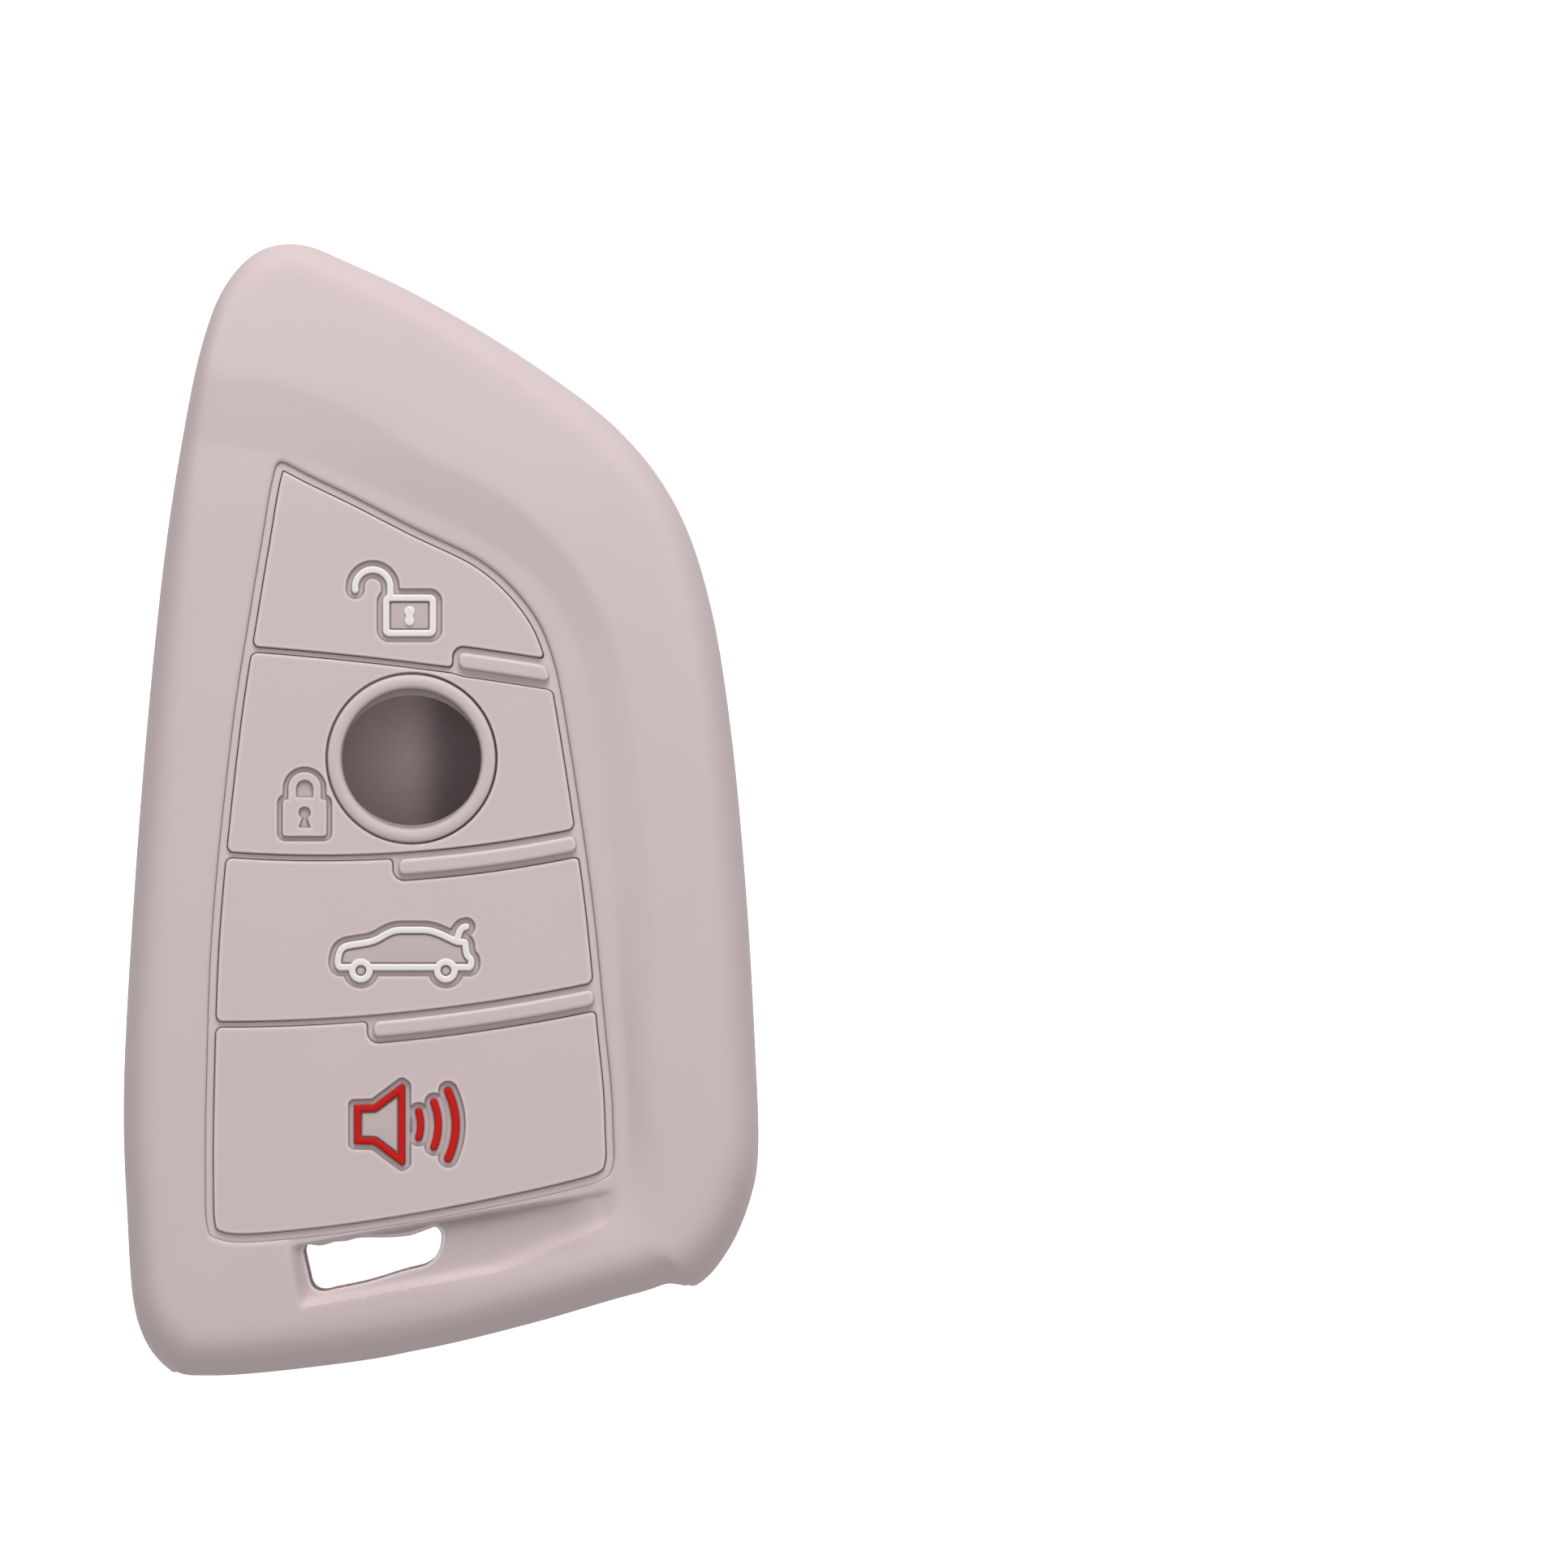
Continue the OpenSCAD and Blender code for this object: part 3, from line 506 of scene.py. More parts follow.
# Rounded lip of the mouth: a half ellipse from the outer to the inner edge of the opening
rim = [(n + m, c) for c in range(ua, ub)] + [(r, ub) for r in range(n + m, n, -1)]
rim += [(n, c) for c in range(ub, ua, -1)] + [(r, ua) for r in range(n, n + m)]
rim = np.array(rim)
edgeOut, edgeIn = outer[rim[:, 0], rim[:, 1]], inner[rim[:, 0], rim[:, 1]]
chord = edgeIn - edgeOut
along = np.roll(edgeOut + edgeIn, -2, 0) - np.roll(edgeOut + edgeIn, 2, 0)
bulge = np.cross(chord, along)
bulge /= np.linalg.norm(bulge, axis=1)[:, None]
bulge[((edgeOut.mean(0) - edgeOut) * bulge).sum(1) < 0] *= -1
for _ in range(3):
    bulge = (np.roll(bulge, 1, 0) + bulge + np.roll(bulge, -1, 0)) / 3
turnLip = np.linspace(0, np.pi, mouth["lipRows"] + 2)[:, None, None]
lip = edgeOut + chord * (0.5 - 0.5 * np.cos(turnLip)) + bulge * mouth["lipBulge"] * np.sin(turnLip)
patches.append((lip.reshape(-1, 3), gridFaces(len(lip), len(rim), True, True)))


# Distances of the loops along a rounded edge, by turns of its quarter circle, and one beyond it
def edgeWays(width, turns, beyond):
    return [*(width * (1 - np.cos(np.radians(turns)))), width + beyond]


# Front and back between the band's last rows, as heights over triangulated outlines
spread = dict(
    front=0.5, back=0.6, inside=1.2,  # spacing of the coarse points
    shoulderTurns=([0, 15, 30, 45, 60, 75, 90], 0.15), slotTurns=([0, 25, 50, 75, 90], 0.12),
    roomShare=0.45, panelRoom=0.15, slotRoom=0.2,
    # how far points stay off an outline and a line: coarse ones by shares of their spacing
    coarseOff=(0.45, 0.4), fineOff=(0.2, 0.12), fineHole=0.08, skinHole=0.2, insideHole=0.4,
    coarseToFine=0.1,  # square of the distance
    ridge=0.4, ridgeRows=(-0.5, -0.2, 0.1, 0.4), edgeRun=(0.3, 25.5, 0.25),
    wallRun=(25.0, 27.0, 0.16), wallFall=(-0.6, 5.3, 0.16),
    step=0.35, stepOff=0.25, stepClear=0.2, frontSteps=(-0.3, 0.8), backSteps=(-0.5, 0.8))
shoulderWays = edgeWays(cover["shoulder"][0], *spread["shoulderTurns"])
slotWays = edgeWays(slot["edge"], *spread["slotTurns"])
# The two sets of loops share the room between the panel and the slot
share = spread["roomShare"]
panelRoom = np.clip(share * distanceTo(panel, slotLoop) / shoulderWays[-1], spread["panelRoom"], 1)
slotRoom = np.clip(share * distanceTo(slotLoop, panel) / slotWays[-1], spread["slotRoom"], 1)
panelLoops = [widened(panel, d * panelRoom) for d in shoulderWays]
slotLoops = [widened(slotLoop, d * slotRoom) for d in slotWays]
low, high = outline.min(0), outline.max(0)


def clearOf(q, ring, holes, lines, gap, lineGap):
    keep = signedTo(q, ring) < -gap
    for hole, holeGap in holes:
        keep &= signedTo(q, hole) > holeGap
    for line in lines:
        keep &= distanceTo(q, line, False) > lineGap
    return q[keep]


# Coarse points all over, left out where finer ones lie
def loosePoints(spacing, ring, holes, lines=(), fine=None):
    off = [share * spacing for share in spread["coarseOff"]]
    q = clearOf(hexPoints(low, high, spacing), ring, holes, lines, *off)
    if fine is None:
        return q
    fine = clearOf(fine, ring, [(hole, spread["fineHole"]) for hole, _ in holes], lines,
                   *spread["fineOff"])
    nearest = [((q[part, None] - fine) ** 2).sum(-1).min(1) for part in inParts(len(q), 1000)]
    return np.concatenate([q[np.concatenate(nearest) > spread["coarseToFine"]], fine])


def dotted(path, spacing):  # points at an even spacing along a closed path
    closed = np.concatenate([path, path[:1]])
    way = np.concatenate([[0], np.cumsum(np.hypot(*np.diff(closed, axis=0).T))])
    at = np.arange(0, way[-1], spacing)
    return np.column_stack([np.interp(at, way, closed[:, k]) for k in (0, 1)])


# Finer points where the front bends: the ridge's foot and crest, the scoop's lower edge and the
# wall at its left end
run = np.arange(*spread["edgeRun"])
finePoints = [widened(dotted(path, spread["ridge"]), d)
              for path in (slopeFoot, slopeCrest) for d in spread["ridgeRows"]]
finePoints += [scoopEnd - run[:, None] * scoopAlong - (scoopReach(run)[1] + d)[:, None] * scoopAcross
               for d in scoop["edgeRows"]]
run, fall = (v.reshape(-1, 1) for v in np.meshgrid(
    np.arange(*spread["wallRun"]), np.arange(*spread["wallFall"])))
finePoints.append(scoopEnd - run * scoopAlong - fall * scoopAcross)
finePoints = np.concatenate(finePoints)


# Rows of points along the scoop's step, right of the slot
def stepLines(low, high):
    slotRight = slotLoops[-1][:, 0].max() + spread["stepOff"]
    run = np.arange(0.0, (scoopEnd[0] - slotRight) / scoopAlong[0], spread["step"])
    return [scoopEnd - run[:, None] * scoopAlong - f * scoopAcross
            for f in scoop["stepRows"] if low <= f <= high]


def capPatch(ring, loops, lines, spacing, gap, height, flip, fine=None):
    flatRing = ring[:, :2]
    holes = [(group[-1], gap) for group in loops]
    loose = loosePoints(spacing, flatRing, holes, lines, fine)
    q, faces, renamed = triangulated([flatRing] + [p for group in loops for p in group], lines, loose)
    centroids = q[faces].mean(1)
    keep = insidePath(centroids, flatRing)
    for group in loops:
        keep &= ~insidePath(centroids, group[0])
    z = height(q)
    z[renamed[:len(ring)]] = ring[:, 2]
    faces = faces[keep]
    return np.column_stack([q, z]), faces[:, ::-1] if flip else faces


frontLines = [line[signedTo(line, panelLoops[-1]) > spread["stepClear"]]
              for line in stepLines(*spread["frontSteps"])]
frontLines = [line for line in frontLines if len(line) > 3]
patches += [
    capPatch(outer[-1], [panelLoops, slotLoops], frontLines, spread["front"], spread["skinHole"],
             lambda q: frontSkin(q, distanceTo(q, panel), distanceTo(q, slotLoop)), False, finePoints),
    capPatch(outer[0], [slotLoops], stepLines(*spread["backSteps"]), spread["back"],
             spread["skinHole"], lambda q: backSkin(q, 0, distanceTo(q, slotLoop)), True),
    capPatch(inner[-1], [[panel], [slotLoop]], [], spread["inside"], spread["insideHole"],
             frontInside, True),
    capPatch(inner[0], [[slotLoop]], [], spread["inside"], spread["insideHole"],
             lambda q: backSkin(q, cover["wall"], clear), False)]


# Walls of the panel's window and of the slot, from the outer to the inner skin
def wallPatch(path, top, bottom):
    points = np.concatenate([np.column_stack([path, top]), np.column_stack([path, bottom])])
    return points, gridFaces(2, len(path), True)


patches += [
    wallPatch(panel, frontSkin(panel, 0, clear), frontInside(panel)),
    wallPatch(slotLoop, frontSkin(slotLoop, clear, 0), frontInside(slotLoop)),
    wallPatch(slotLoop, backSkin(slotLoop, cover["wall"], clear), backSkin(slotLoop, 0, 0))]
insidePatches = (1, 5, 6)
# Inside skins take the paler colour painted as inside light, and are marked in the painted-light attribute
tone = [np.full(len(points), float(k in insidePatches)) for k, (points, _) in enumerate(patches)]
sleeve = pieceFrom("sleeve_skin", patches, tone=np.concatenate(tone), paintedInsideLight=insidePatches)

# Painted light on it, by the distance from the panel, the slot, the scoop's step and wall, and the slope's
# foot:
# painted shade at each, and a painted highlight just off the slot's edge
shading = dict(
    panelEdge=([0, 0.05, 0.12, 0.25], [-0.2, -0.12, 0, 0]),
    plainRun=(0, 2, 24, 26), plainFall=(-1.6, -1.2),  # along the scoop the panel's edge stays plain
    slotEdge=([0, 0.02, 0.08, 0.16, 0.3], [-0.3, -0.2, 0.35, 0.3, 0]),
    wall=([25.2, 25.5, 25.9, 26.6], [0, 0.32, 0.224, 0]), wallFall=(0, 0.4, 2.6, 4.6),
    step=([0, 0.2, 0.5, 1.0, 1.8, 2.8, 3.9, 4.4], [0, 0.5, 0.5, 0.38, 0.25, 0.17, 0.14, 0]),
    stepRun=(0.8, 4.8, 20, 26), stepBelow=0.15,
    slope=([-0.25, 0.1, 0.5, 1.4, 2.6], [0, 0.11, 0.11, 0.06, 0]),
    slopeY=(-29.5, -23.5, -16, -4), slopeX=8,
    # painted shade across the inside skin that shows through the badge window: none on a band left
    # of the window's middle, deepest to its right
    window=([-4.6, -3.4, -2.6, -1.5, -0.4, 0.6, 3.0], [-0.03, 0, 0, -0.2, -0.6, -0.74, -0.68]),
    windowEnd=(8, 11))
spot = meshPoints(sleeve.data)
flat, front = spot[:, :2], spot[:, 2] > cover["parting"]
run, fall = scoopPlace(flat)
tone = np.interp(distanceTo(flat, panel), *shading["panelEdge"]) * front
tone *= 1 - between(run, *shading["plainRun"]) * ramp(fall, *shading["plainFall"])
tone += np.interp(distanceTo(flat, slotLoop), *shading["slotEdge"])
tone -= np.interp(run, *shading["wall"]) * between(fall, *shading["wallFall"]) * front
tone -= (np.interp(fall, *shading["step"]) * between(run, *shading["stepRun"]) * front
         * (np.abs(tone) < shading["stepBelow"]))
tone -= (np.interp(signedTo(flat, slopeFoot), *shading["slope"]) * between(flat[:, 1], *shading["slopeY"])
         * (flat[:, 0] > shading["slopeX"]) * front)
insideSkin = np.zeros(len(spot), np.float32)
sleeve.data.attributes["paintedShadeHighlight"].data.foreach_get("value", insideSkin)
insideSkin = insideSkin > 0.5
fromBadge = np.hypot(*(flat[insideSkin] - badge).T)
# Near the badge window the inside skin gets painted shade by the window table, fading out further off
tone[insideSkin] = np.interp(flat[insideSkin, 0], *shading["window"]) * (1 - ramp(fromBadge, *shading["windowEnd"]))
setTone(sleeve.data, tone)
print("sleeve", len(sleeve.data.vertices), "points", len(sleeve.data.polygons), "faces")


# Button panel: pads, web, bars and collar
buttons = dict(
    rimGroove=0.65, groove=0.48, depth=0.38, web=0.5, slit=0.08, seat=0.02, corner=0.5,
    edge=0.16, moatEdgeShare=0.8, pitch=0.08, under=0.03,
    barWidth=1.27, barRise=0.3, barEdge=0.3, barEnd=0.5, barShares=(0.029, -0.065, -0.105),
    dividerReach=(-0.15, 1.15), dividerPoints=27, fieldMargin=0.3, windowMargin=0.2,
    padSpacing=0.9, barSpacing=0.7, webSpacing=60.0,
    offEdge=0.35, offMoat=0.3,  # shares of the spacing that a plate's loose points keep clear
    sureDepth=0.03,
    badge=5.43, collar=1.15, collarRise=0.3, crease=0.11, margin=0.48,
    upper=((-0.302, 0.0142), (0.175, -0.0178), -0.003),
    middle=((-0.338, -0.0022), (0.211, 0.0178), 0.011),
    lower=((-0.354, -0.187), (0.238, -0.153), 0.009))
symbols = dict(
    line=0.54, moat=0.42, closedMoat=0.36, moatDepth=0.35, moatWall=0.03,
    pitch=0.035, edge=0.15, spacing=0.5,
    islandRise=0.17, islandGap=0.03, islandSlope=0.12,
    openShare=(-0.0482, 0.0465), openCase=(4.2, 3.3), shackle=1.38, shacklePlace=(-0.685, 0.67),
    shackleFoot=(-0.358, 0.45), openCorner=0.08,
    keyhole=0.42, keyHead=0.75, keyFoot=0.9, keyWaist=0.26, keyBlend=0.06,
    closedShare=(-0.213, 0.009), closedCase=(3.5, 2.9), closedShackle=1.31, closedRise=0.84,
    closedHole=1.25, closedKey=0.125, closedKeyRise=-0.36, closedKeyFoot=2.1, closedCorner=0.05,
    deepest=-0.25,
    carShare=(-0.0553, -0.1263), car=10.35, wheel=0.95, wheelShares=(-0.333, 0.309), axleShare=-0.136,
    hornShare=(-0.083, -0.278), horn=6.6, waves=(3.33, 4.70, 6.07), waveAngles=(17.8, 21.8, 25.8),
    waveWidths=(1.0, 1.04, 1.14), wavePlace=-0.11)
carBody = [
    (-0.487, -0.1104), (-0.503, -0.092), (-0.5066, -0.0552), (-0.489, 0.0100), (-0.4506, 0.046),
    (-0.366, 0.0637), (-0.274, 0.079), (-0.205, 0.1036), (-0.1285, 0.1465), (-0.0595, 0.1687),
    (0.0479, 0.171), (0.1706, 0.1687), (0.2472, 0.148), (0.324, 0.1135), (0.393, 0.0828),
    (0.436, 0.080), (0.455, 0.068), (0.4604, 0.0215), (0.4712, -0.0207), (0.4964, -0.0514),
    (0.4988, -0.0897), (0.483, -0.1104), (0.43, -0.1104), (0.0, -0.1104), (-0.43, -0.1104)]
carLid = [(0.393, 0.100), (0.412, 0.1595), (0.435, 0.1887), (0.462, 0.1963)]
hornBody = [
    (-0.394, -0.230), (-0.394, 0.230), (-0.162, 0.236), (0.173, 0.486),
    (0.212, 0.457), (0.212, -0.457), (0.173, -0.486), (-0.162, -0.236)]
panelDepth = buttons["depth"] + buttons["web"]
collarOuter = buttons["badge"] + buttons["collar"]
collarReach = collarOuter + buttons["margin"]


def gridOver(low, high, pitch):
    xs, ys = (np.arange(low[k], high[k] + pitch, pitch) for k in (0, 1))
    return xs, ys, np.stack(np.meshgrid(xs, ys), -1).reshape(-1, 2)


# A field on a grid from one on every second line of it
def refined(values):
    values = np.repeat(values, 2, 0)[:-1]
    values[1::2] = 0.5 * (values[:-1:2] + values[2::2])
    values = np.repeat(values, 2, 1)[:, :-1]
    values[:, 1::2] = 0.5 * (values[:, :-1:2] + values[:, 2::2])
    return values


def sampled(values, xs, ys, q):
    x = np.clip((q[:, 0] - xs[0]) / (xs[1] - xs[0]), 0, len(xs) - 1.001)
    y = np.clip((q[:, 1] - ys[0]) / (ys[1] - ys[0]), 0, len(ys) - 1.001)
    i, j = x.astype(int), y.astype(int)
    u, v = x - i, y - j
    return ((values[j, i] * (1 - u) + values[j, i + 1] * u) * (1 - v)
            + (values[j + 1, i] * (1 - u) + values[j + 1, i + 1] * u) * v)


# Level line of a field on a grid, as points and directed segments with the lower side on the
# left: each cell's corners below the level pick its segments between the cell's four edges
segmentTable = {1: [(0, 3)], 2: [(1, 0)], 3: [(1, 3)], 4: [(2, 1)], 5: [(0, 3), (2, 1)], 6: [(2, 0)],
                7: [(2, 3)], 8: [(3, 2)], 9: [(0, 2)], 10: [(1, 0), (3, 2)], 11: [(1, 2)], 12: [(3, 1)],
                13: [(0, 1)], 14: [(3, 0)]}


def levelLine(values, xs, ys, level):
    v = values - level
    v = np.where(np.abs(v) < 1e-6, 1e-6, v)
    ny, nx = v.shape
    low = v < 0
    code = low[:-1, :-1] + 2 * low[:-1, 1:] + 4 * low[1:, 1:] + 8 * low[1:, :-1]
    j, i = np.meshgrid(np.arange(ny - 1), np.arange(nx - 1), indexing="ij")
    flat = ny * (nx - 1)
    cellEdges = np.stack([j * (nx - 1) + i, flat + j * nx + i + 1,
                          (j + 1) * (nx - 1) + i, flat + j * nx + i], -1)
    found = [cellEdges[code == k][:, list(pair)] for k, pairs in segmentTable.items() for pair in pairs]
    segments = np.concatenate(found)
    used, segments = np.unique(segments, return_inverse=True)
    across = used < flat
    j = np.where(across, used // (nx - 1), (used - flat) // nx)
    i = np.where(across, used % (nx - 1), (used - flat) % nx)
    a, b = v[j, i], v[np.where(across, j, j + 1), np.where(across, i + 1, i)]
    t = np.clip(a / (a - b), 0.002, 0.998)
    pitch = xs[1] - xs[0]
    points = np.column_stack([xs[i] + np.where(across, t * pitch, 0),
                              ys[j] + np.where(across, 0, t * pitch)])
    return points, segments.reshape(-1, 2)


# Directed sides of triangles among n points, and a number for each one and for its reverse
def sidesOf(faces, n):
    sides = np.concatenate([faces[:, [0, 1]], faces[:, [1, 2]], faces[:, [2, 0]]])
    return sides, sides[:, 0] * n + sides[:, 1], sides[:, 1] * n + sides[:, 0]


# A plate: triangles over the level lines of its field (negative inside), lifted to height(q, field,
# sunk), with the same triangles at the bottom and a wall along the zero line
def plate(name, field, xs, ys, levels, height, bottom, toneAt, spacing, sunk=None, sunkLevels=()):
    lines = [levelLine(field, xs, ys, -v) for v in levels]
    lines += [levelLine(sunk, xs, ys, v) for v in sunkLevels]
    points, starts = stacked([p for p, _ in lines])
    edges = np.concatenate([e + s for (_, e), s in zip(lines, starts)])
    low, high = points.min(0), points.max(0)
    loose = hexPoints(low, high, spacing)
    keep = sampled(field, xs, ys, loose) < -levels[-1] - buttons["offEdge"] * spacing
    if sunk is not None:
        keep &= sampled(sunk, xs, ys, loose) > max(sunkLevels) + buttons["offMoat"] * spacing
    q, faces, renamed = cdt(np.concatenate([points, loose[keep]]), edges)
    wall = renamed[lines[0][1]]
    wall = wall[wall[:, 0] != wall[:, 1]]
    keys, n = wall[:, 0] * len(q) + wall[:, 1], len(q)
    # Side 1 is inside and -1 outside: sure for faces on the zero line or well away from it, and
    # handed on from face to face, but not across the line, for the thin ones between
    depth = sampled(field, xs, ys, q[faces].mean(1))
    owner = np.tile(np.arange(len(faces)), 3)
    sides, forward, backward = sidesOf(faces, n)
    inner, outer = np.isin(forward, keys), np.isin(backward, keys)
    side = np.where(np.abs(depth) < buttons["sureDepth"], 0, -np.sign(depth))
    side[owner[inner]] = 1
    side[owner[outer]] = -1
    order = np.argsort(forward)
    found = order[np.clip(np.searchsorted(forward, backward, sorter=order), 0, len(order) - 1)]
    joined = (forward[found] == backward) & ~inner & ~outer
    here, there = owner[joined], owner[found[joined]]
    for turn in range(40):
        vote = np.bincount(here, weights=side[there], minlength=len(faces))
        unsure = (side == 0) & (vote != 0)
        if not unsure.any():
            break
        side[unsure] = np.sign(vote[unsure])
    faces = faces[np.where(side == 0, depth < 0, side > 0)]
    sides, forward, backward = sidesOf(faces, n)
    wall = sides[~np.isin(forward, backward)]
    f = sampled(field, xs, ys, q)
    s = None if sunk is None else sampled(sunk, xs, ys, q)
    top = np.column_stack([q, height(q, f, s)])
    under = np.column_stack([q, bottom(q)])
    a, b = wall.T
    walls = np.column_stack([a + n, b + n, b, a])
    used = np.unique(faces)
    kept = np.full(2 * n, -1)
    both = np.concatenate([used, used + n])
    # Painted light: the top's painted shade and highlight, and painted shade under the whole underside
    tone = np.concatenate([toneAt(f, s)[used], np.full(len(used), -0.5)])
    kept[both] = np.arange(len(both))
    everything = np.concatenate([top, under])[both]
    none = everything[:0]
    patches = [(none, kept[faces]), (none, kept[faces[:, ::-1] + n]), (everything, kept[walls])]
    # The underside also takes the paler colour painted inside as painted light
    return pieceFrom(name, patches, weld=False, tone=tone, paintedInsideLight=(1,))


def smoothCorner(a, b, r):  # the higher of two fields, with outward corners rounded by r
    a, b = a + r, b + r
    return np.minimum(np.maximum(a, b), 0) + np.hypot(np.maximum(a, 0), np.maximum(b, 0)) - r


def divide(shares, level):
    a, b = placed(shares[:2])
    t = np.linspace(*buttons["dividerReach"], buttons["dividerPoints"])[:, None]
    return a + t * (b - a) + np.array([0, 1]) * (level - 4 * shares[2] * cover["length"] * t * (1 - t))


def above(q, curve):
    return distanceTo(q, curve, False) * np.sign(q[:, 1] - np.interp(q[:, 0], *curve.T))


# Fields over the whole panel, worked out on every second line and refined once
pitch = buttons["pitch"]
margin = buttons["fieldMargin"]
coarseX, coarseY, q = gridOver(panel.min(0) - margin, panel.max(0) + margin, 2 * pitch)
shape = (len(coarseY), len(coarseX))
dividers = [divide(buttons[name], level) for name, level in (
    ("upper", badge[1] + collarReach), ("middle", badge[1] - collarReach), ("lower", 0))]
windowField = refined(signedTo(q, panel).reshape(shape))
upperField, middleField, lowerField = (refined(above(q, c).reshape(shape)) for c in dividers)
panelX = coarseX[0] + pitch * np.arange(windowField.shape[1])
panelY = coarseY[0] + pitch * np.arange(windowField.shape[0])
gridX, gridY = np.meshgrid(panelX, panelY)
field = windowField + buttons["rimGroove"]
half, gap = buttons["barWidth"] / 2, buttons["groove"]
barFields = []
for over, side, share in zip((upperField, middleField, lowerField), (1, -1, -1), buttons["barShares"]):
    bar = np.abs(over - side * (gap + half)) - half
    bar = smoothCorner(bar, share * cover["width"] - gridX, buttons["barEnd"])
    barFields.append(smoothCorner(bar, field, buttons["barEnd"]))
ringField = np.hypot(gridX - badge[0], gridY - badge[1]) - collarOuter - buttons["crease"]
strips = dict(
    unlock=(-(upperField - gap), gap - barFields[0]),
    lock=(upperField, -middleField, gap - barFields[0]),
    trunk=(middleField + gap, -lowerField, gap - barFields[1]),
    panic=(lowerField + gap, gap - barFields[2]))
padFields = {}
for name, limits in strips.items():
    padFields[name] = field
    for limit in limits:
        padFields[name] = smoothCorner(padFields[name], limit, buttons["corner"])
web = windowField + buttons["under"]
for one in padFields.values():
    web = np.maximum(web, buttons["slit"] - one)
print("panel fields", web.shape)


# Symbols as fields: negative where the line stands
def boxField(q, centre, size, r):
    d = np.abs(q - centre) - np.asarray(size) / 2 + r
    return np.hypot(*np.maximum(d, 0).T) + np.minimum(d.max(1), 0) - r


def discField(q, centre, r):
    return np.hypot(*(q - centre).T) - r


def arcPath(centre, r, start, end, count=25):
    a = np.radians(np.linspace(start, end, count))
    return centre + r * np.column_stack([np.cos(a), np.sin(a)])


line, moat = symbols["line"], symbols["moat"]
openPlace = placed(symbols["openShare"]) + (0, badge[1] + collarReach)
closedPlace = placed(symbols["closedShare"])
carPlace, hornPlace = placed(symbols["carShare"]), placed(symbols["hornShare"])
openCase = np.array(symbols["openCase"])
shackleMiddle = openPlace + symbols["shacklePlace"] * openCase
shacklePath = np.concatenate([[openPlace + symbols["shackleFoot"] * openCase],
                              arcPath(shackleMiddle, symbols["shackle"], 0, 189)])
car = carPlace + symbols["car"] * looped(carBody[::-1], 5)
lid = carPlace + symbols["car"] * np.array(carLid)
wheels = [carPlace + symbols["car"] * np.array([x, symbols["axleShare"]])
          for x in symbols["wheelShares"]]
horn = hornPlace + symbols["horn"] * np.array(hornBody)[::-1]
waveMiddle = hornPlace + (symbols["wavePlace"] * symbols["horn"], 0)
waves = [arcPath(waveMiddle, r, -a, a) for r, a in zip(symbols["waves"], symbols["waveAngles"])]


def openLock(q):
    case = boxField(q, openPlace, openCase, line)
    hole = boxField(q, openPlace, openCase - 2 * line, symbols["openCorner"])
    shackle = distanceTo(q, shacklePath, False) - line / 2
    return np.maximum(np.minimum(case, shackle), -hole), np.minimum(case, shackle) - moat


def openKeyhole(q):
    r, up, blend = symbols["keyhole"], symbols["keyHead"] * symbols["keyhole"], symbols["keyBlend"]
    head = discField(q, openPlace + (0, up), r)
    foot = discField(q, openPlace - (0, r), symbols["keyFoot"] * r)
    waist = distanceTo(q, openPlace + np.array([(0, up), (0, -r)]), False) - symbols["keyWaist"]
    return -np.log(sum(np.exp(-part / blend) for part in (head, foot, waist))) * blend


def closedLock(q):
    wide, tall = symbols["closedCase"]
    r, rise = symbols["closedShackle"], symbols["closedRise"]
    middle = closedPlace + (0, rise)
    legs = boxField(q, closedPlace + (0, rise / 2 - line / 2), (2 * r, rise + line), 0)
    solid = np.minimum(boxField(q, closedPlace - (0, tall / 2), (wide, tall), line / 2),
                       np.minimum(discField(q, middle, r), legs))
    hole = r - symbols["closedHole"] * line
    key, keyY = symbols["closedKey"] * wide, symbols["closedKeyRise"] * tall
    footY = symbols["closedKeyFoot"] * keyY
    foot = np.array([(0, keyY), (-key, footY), (key, footY)]) + closedPlace
    legRoom = boxField(q, closedPlace + (0, rise / 2 + line / 6), (2 * hole, rise - line / 3),
                       symbols["closedCorner"])
    holes = np.minimum(discField(q, middle, hole), legRoom)
    holes = np.minimum(holes, np.minimum(discField(q, closedPlace + (0, keyY), key), signedTo(q, foot)))
    moatField = np.maximum(solid - symbols["closedMoat"], -solid)
    return np.maximum(np.minimum(moatField, holes), symbols["deepest"])


def carLines(q):
    body = signedTo(q, car)
    wheel = np.minimum(*(discField(q, w, symbols["wheel"]) for w in wheels))
    lidLine = distanceTo(q, lid, False) - line / 2
    lines = np.minimum(np.minimum(np.abs(body) - line / 2, wheel), lidLine)
    around = np.minimum(np.minimum(body - line / 2, wheel), lidLine) - moat
    return np.maximum(lines, -(wheel + line)), around


def hornLines(q):
    body = signedTo(q, horn)
    return np.maximum(body, -(body + line))


def waveLines(q):
    return np.min([distanceTo(q, wave, False) - line * width / 2
                   for wave, width in zip(waves, symbols["waveWidths"])], axis=0)


sunkFields = dict(
    unlock=lambda q: openLock(q)[1], lock=closedLock, trunk=lambda q: carLines(q)[1],
    panic=lambda q: np.minimum(signedTo(q, horn), waveLines(q)) - moat)
edgeSteps = [0, 0.015, 0.04, 0.08, 0.12, 0.18, 0.27, 0.4]
moatSteps = [-1.18, -1.09, -1.03, -0.98, -0.42, -0.36, -0.28, -0.2, -0.14, -0.07, -0.03,
             0, 0.015, 0.05, 0.09, 0.13, 0.2, 0.32]
webSteps = [0, 0.06, 0.13, 0.2]
barSteps = [0, 0.01, 0.04, 0.09, 0.15, 0.22, 0.3, 0.4]
lineSteps = [0, 0.012, 0.035, 0.07, 0.11, 0.16, 0.22]
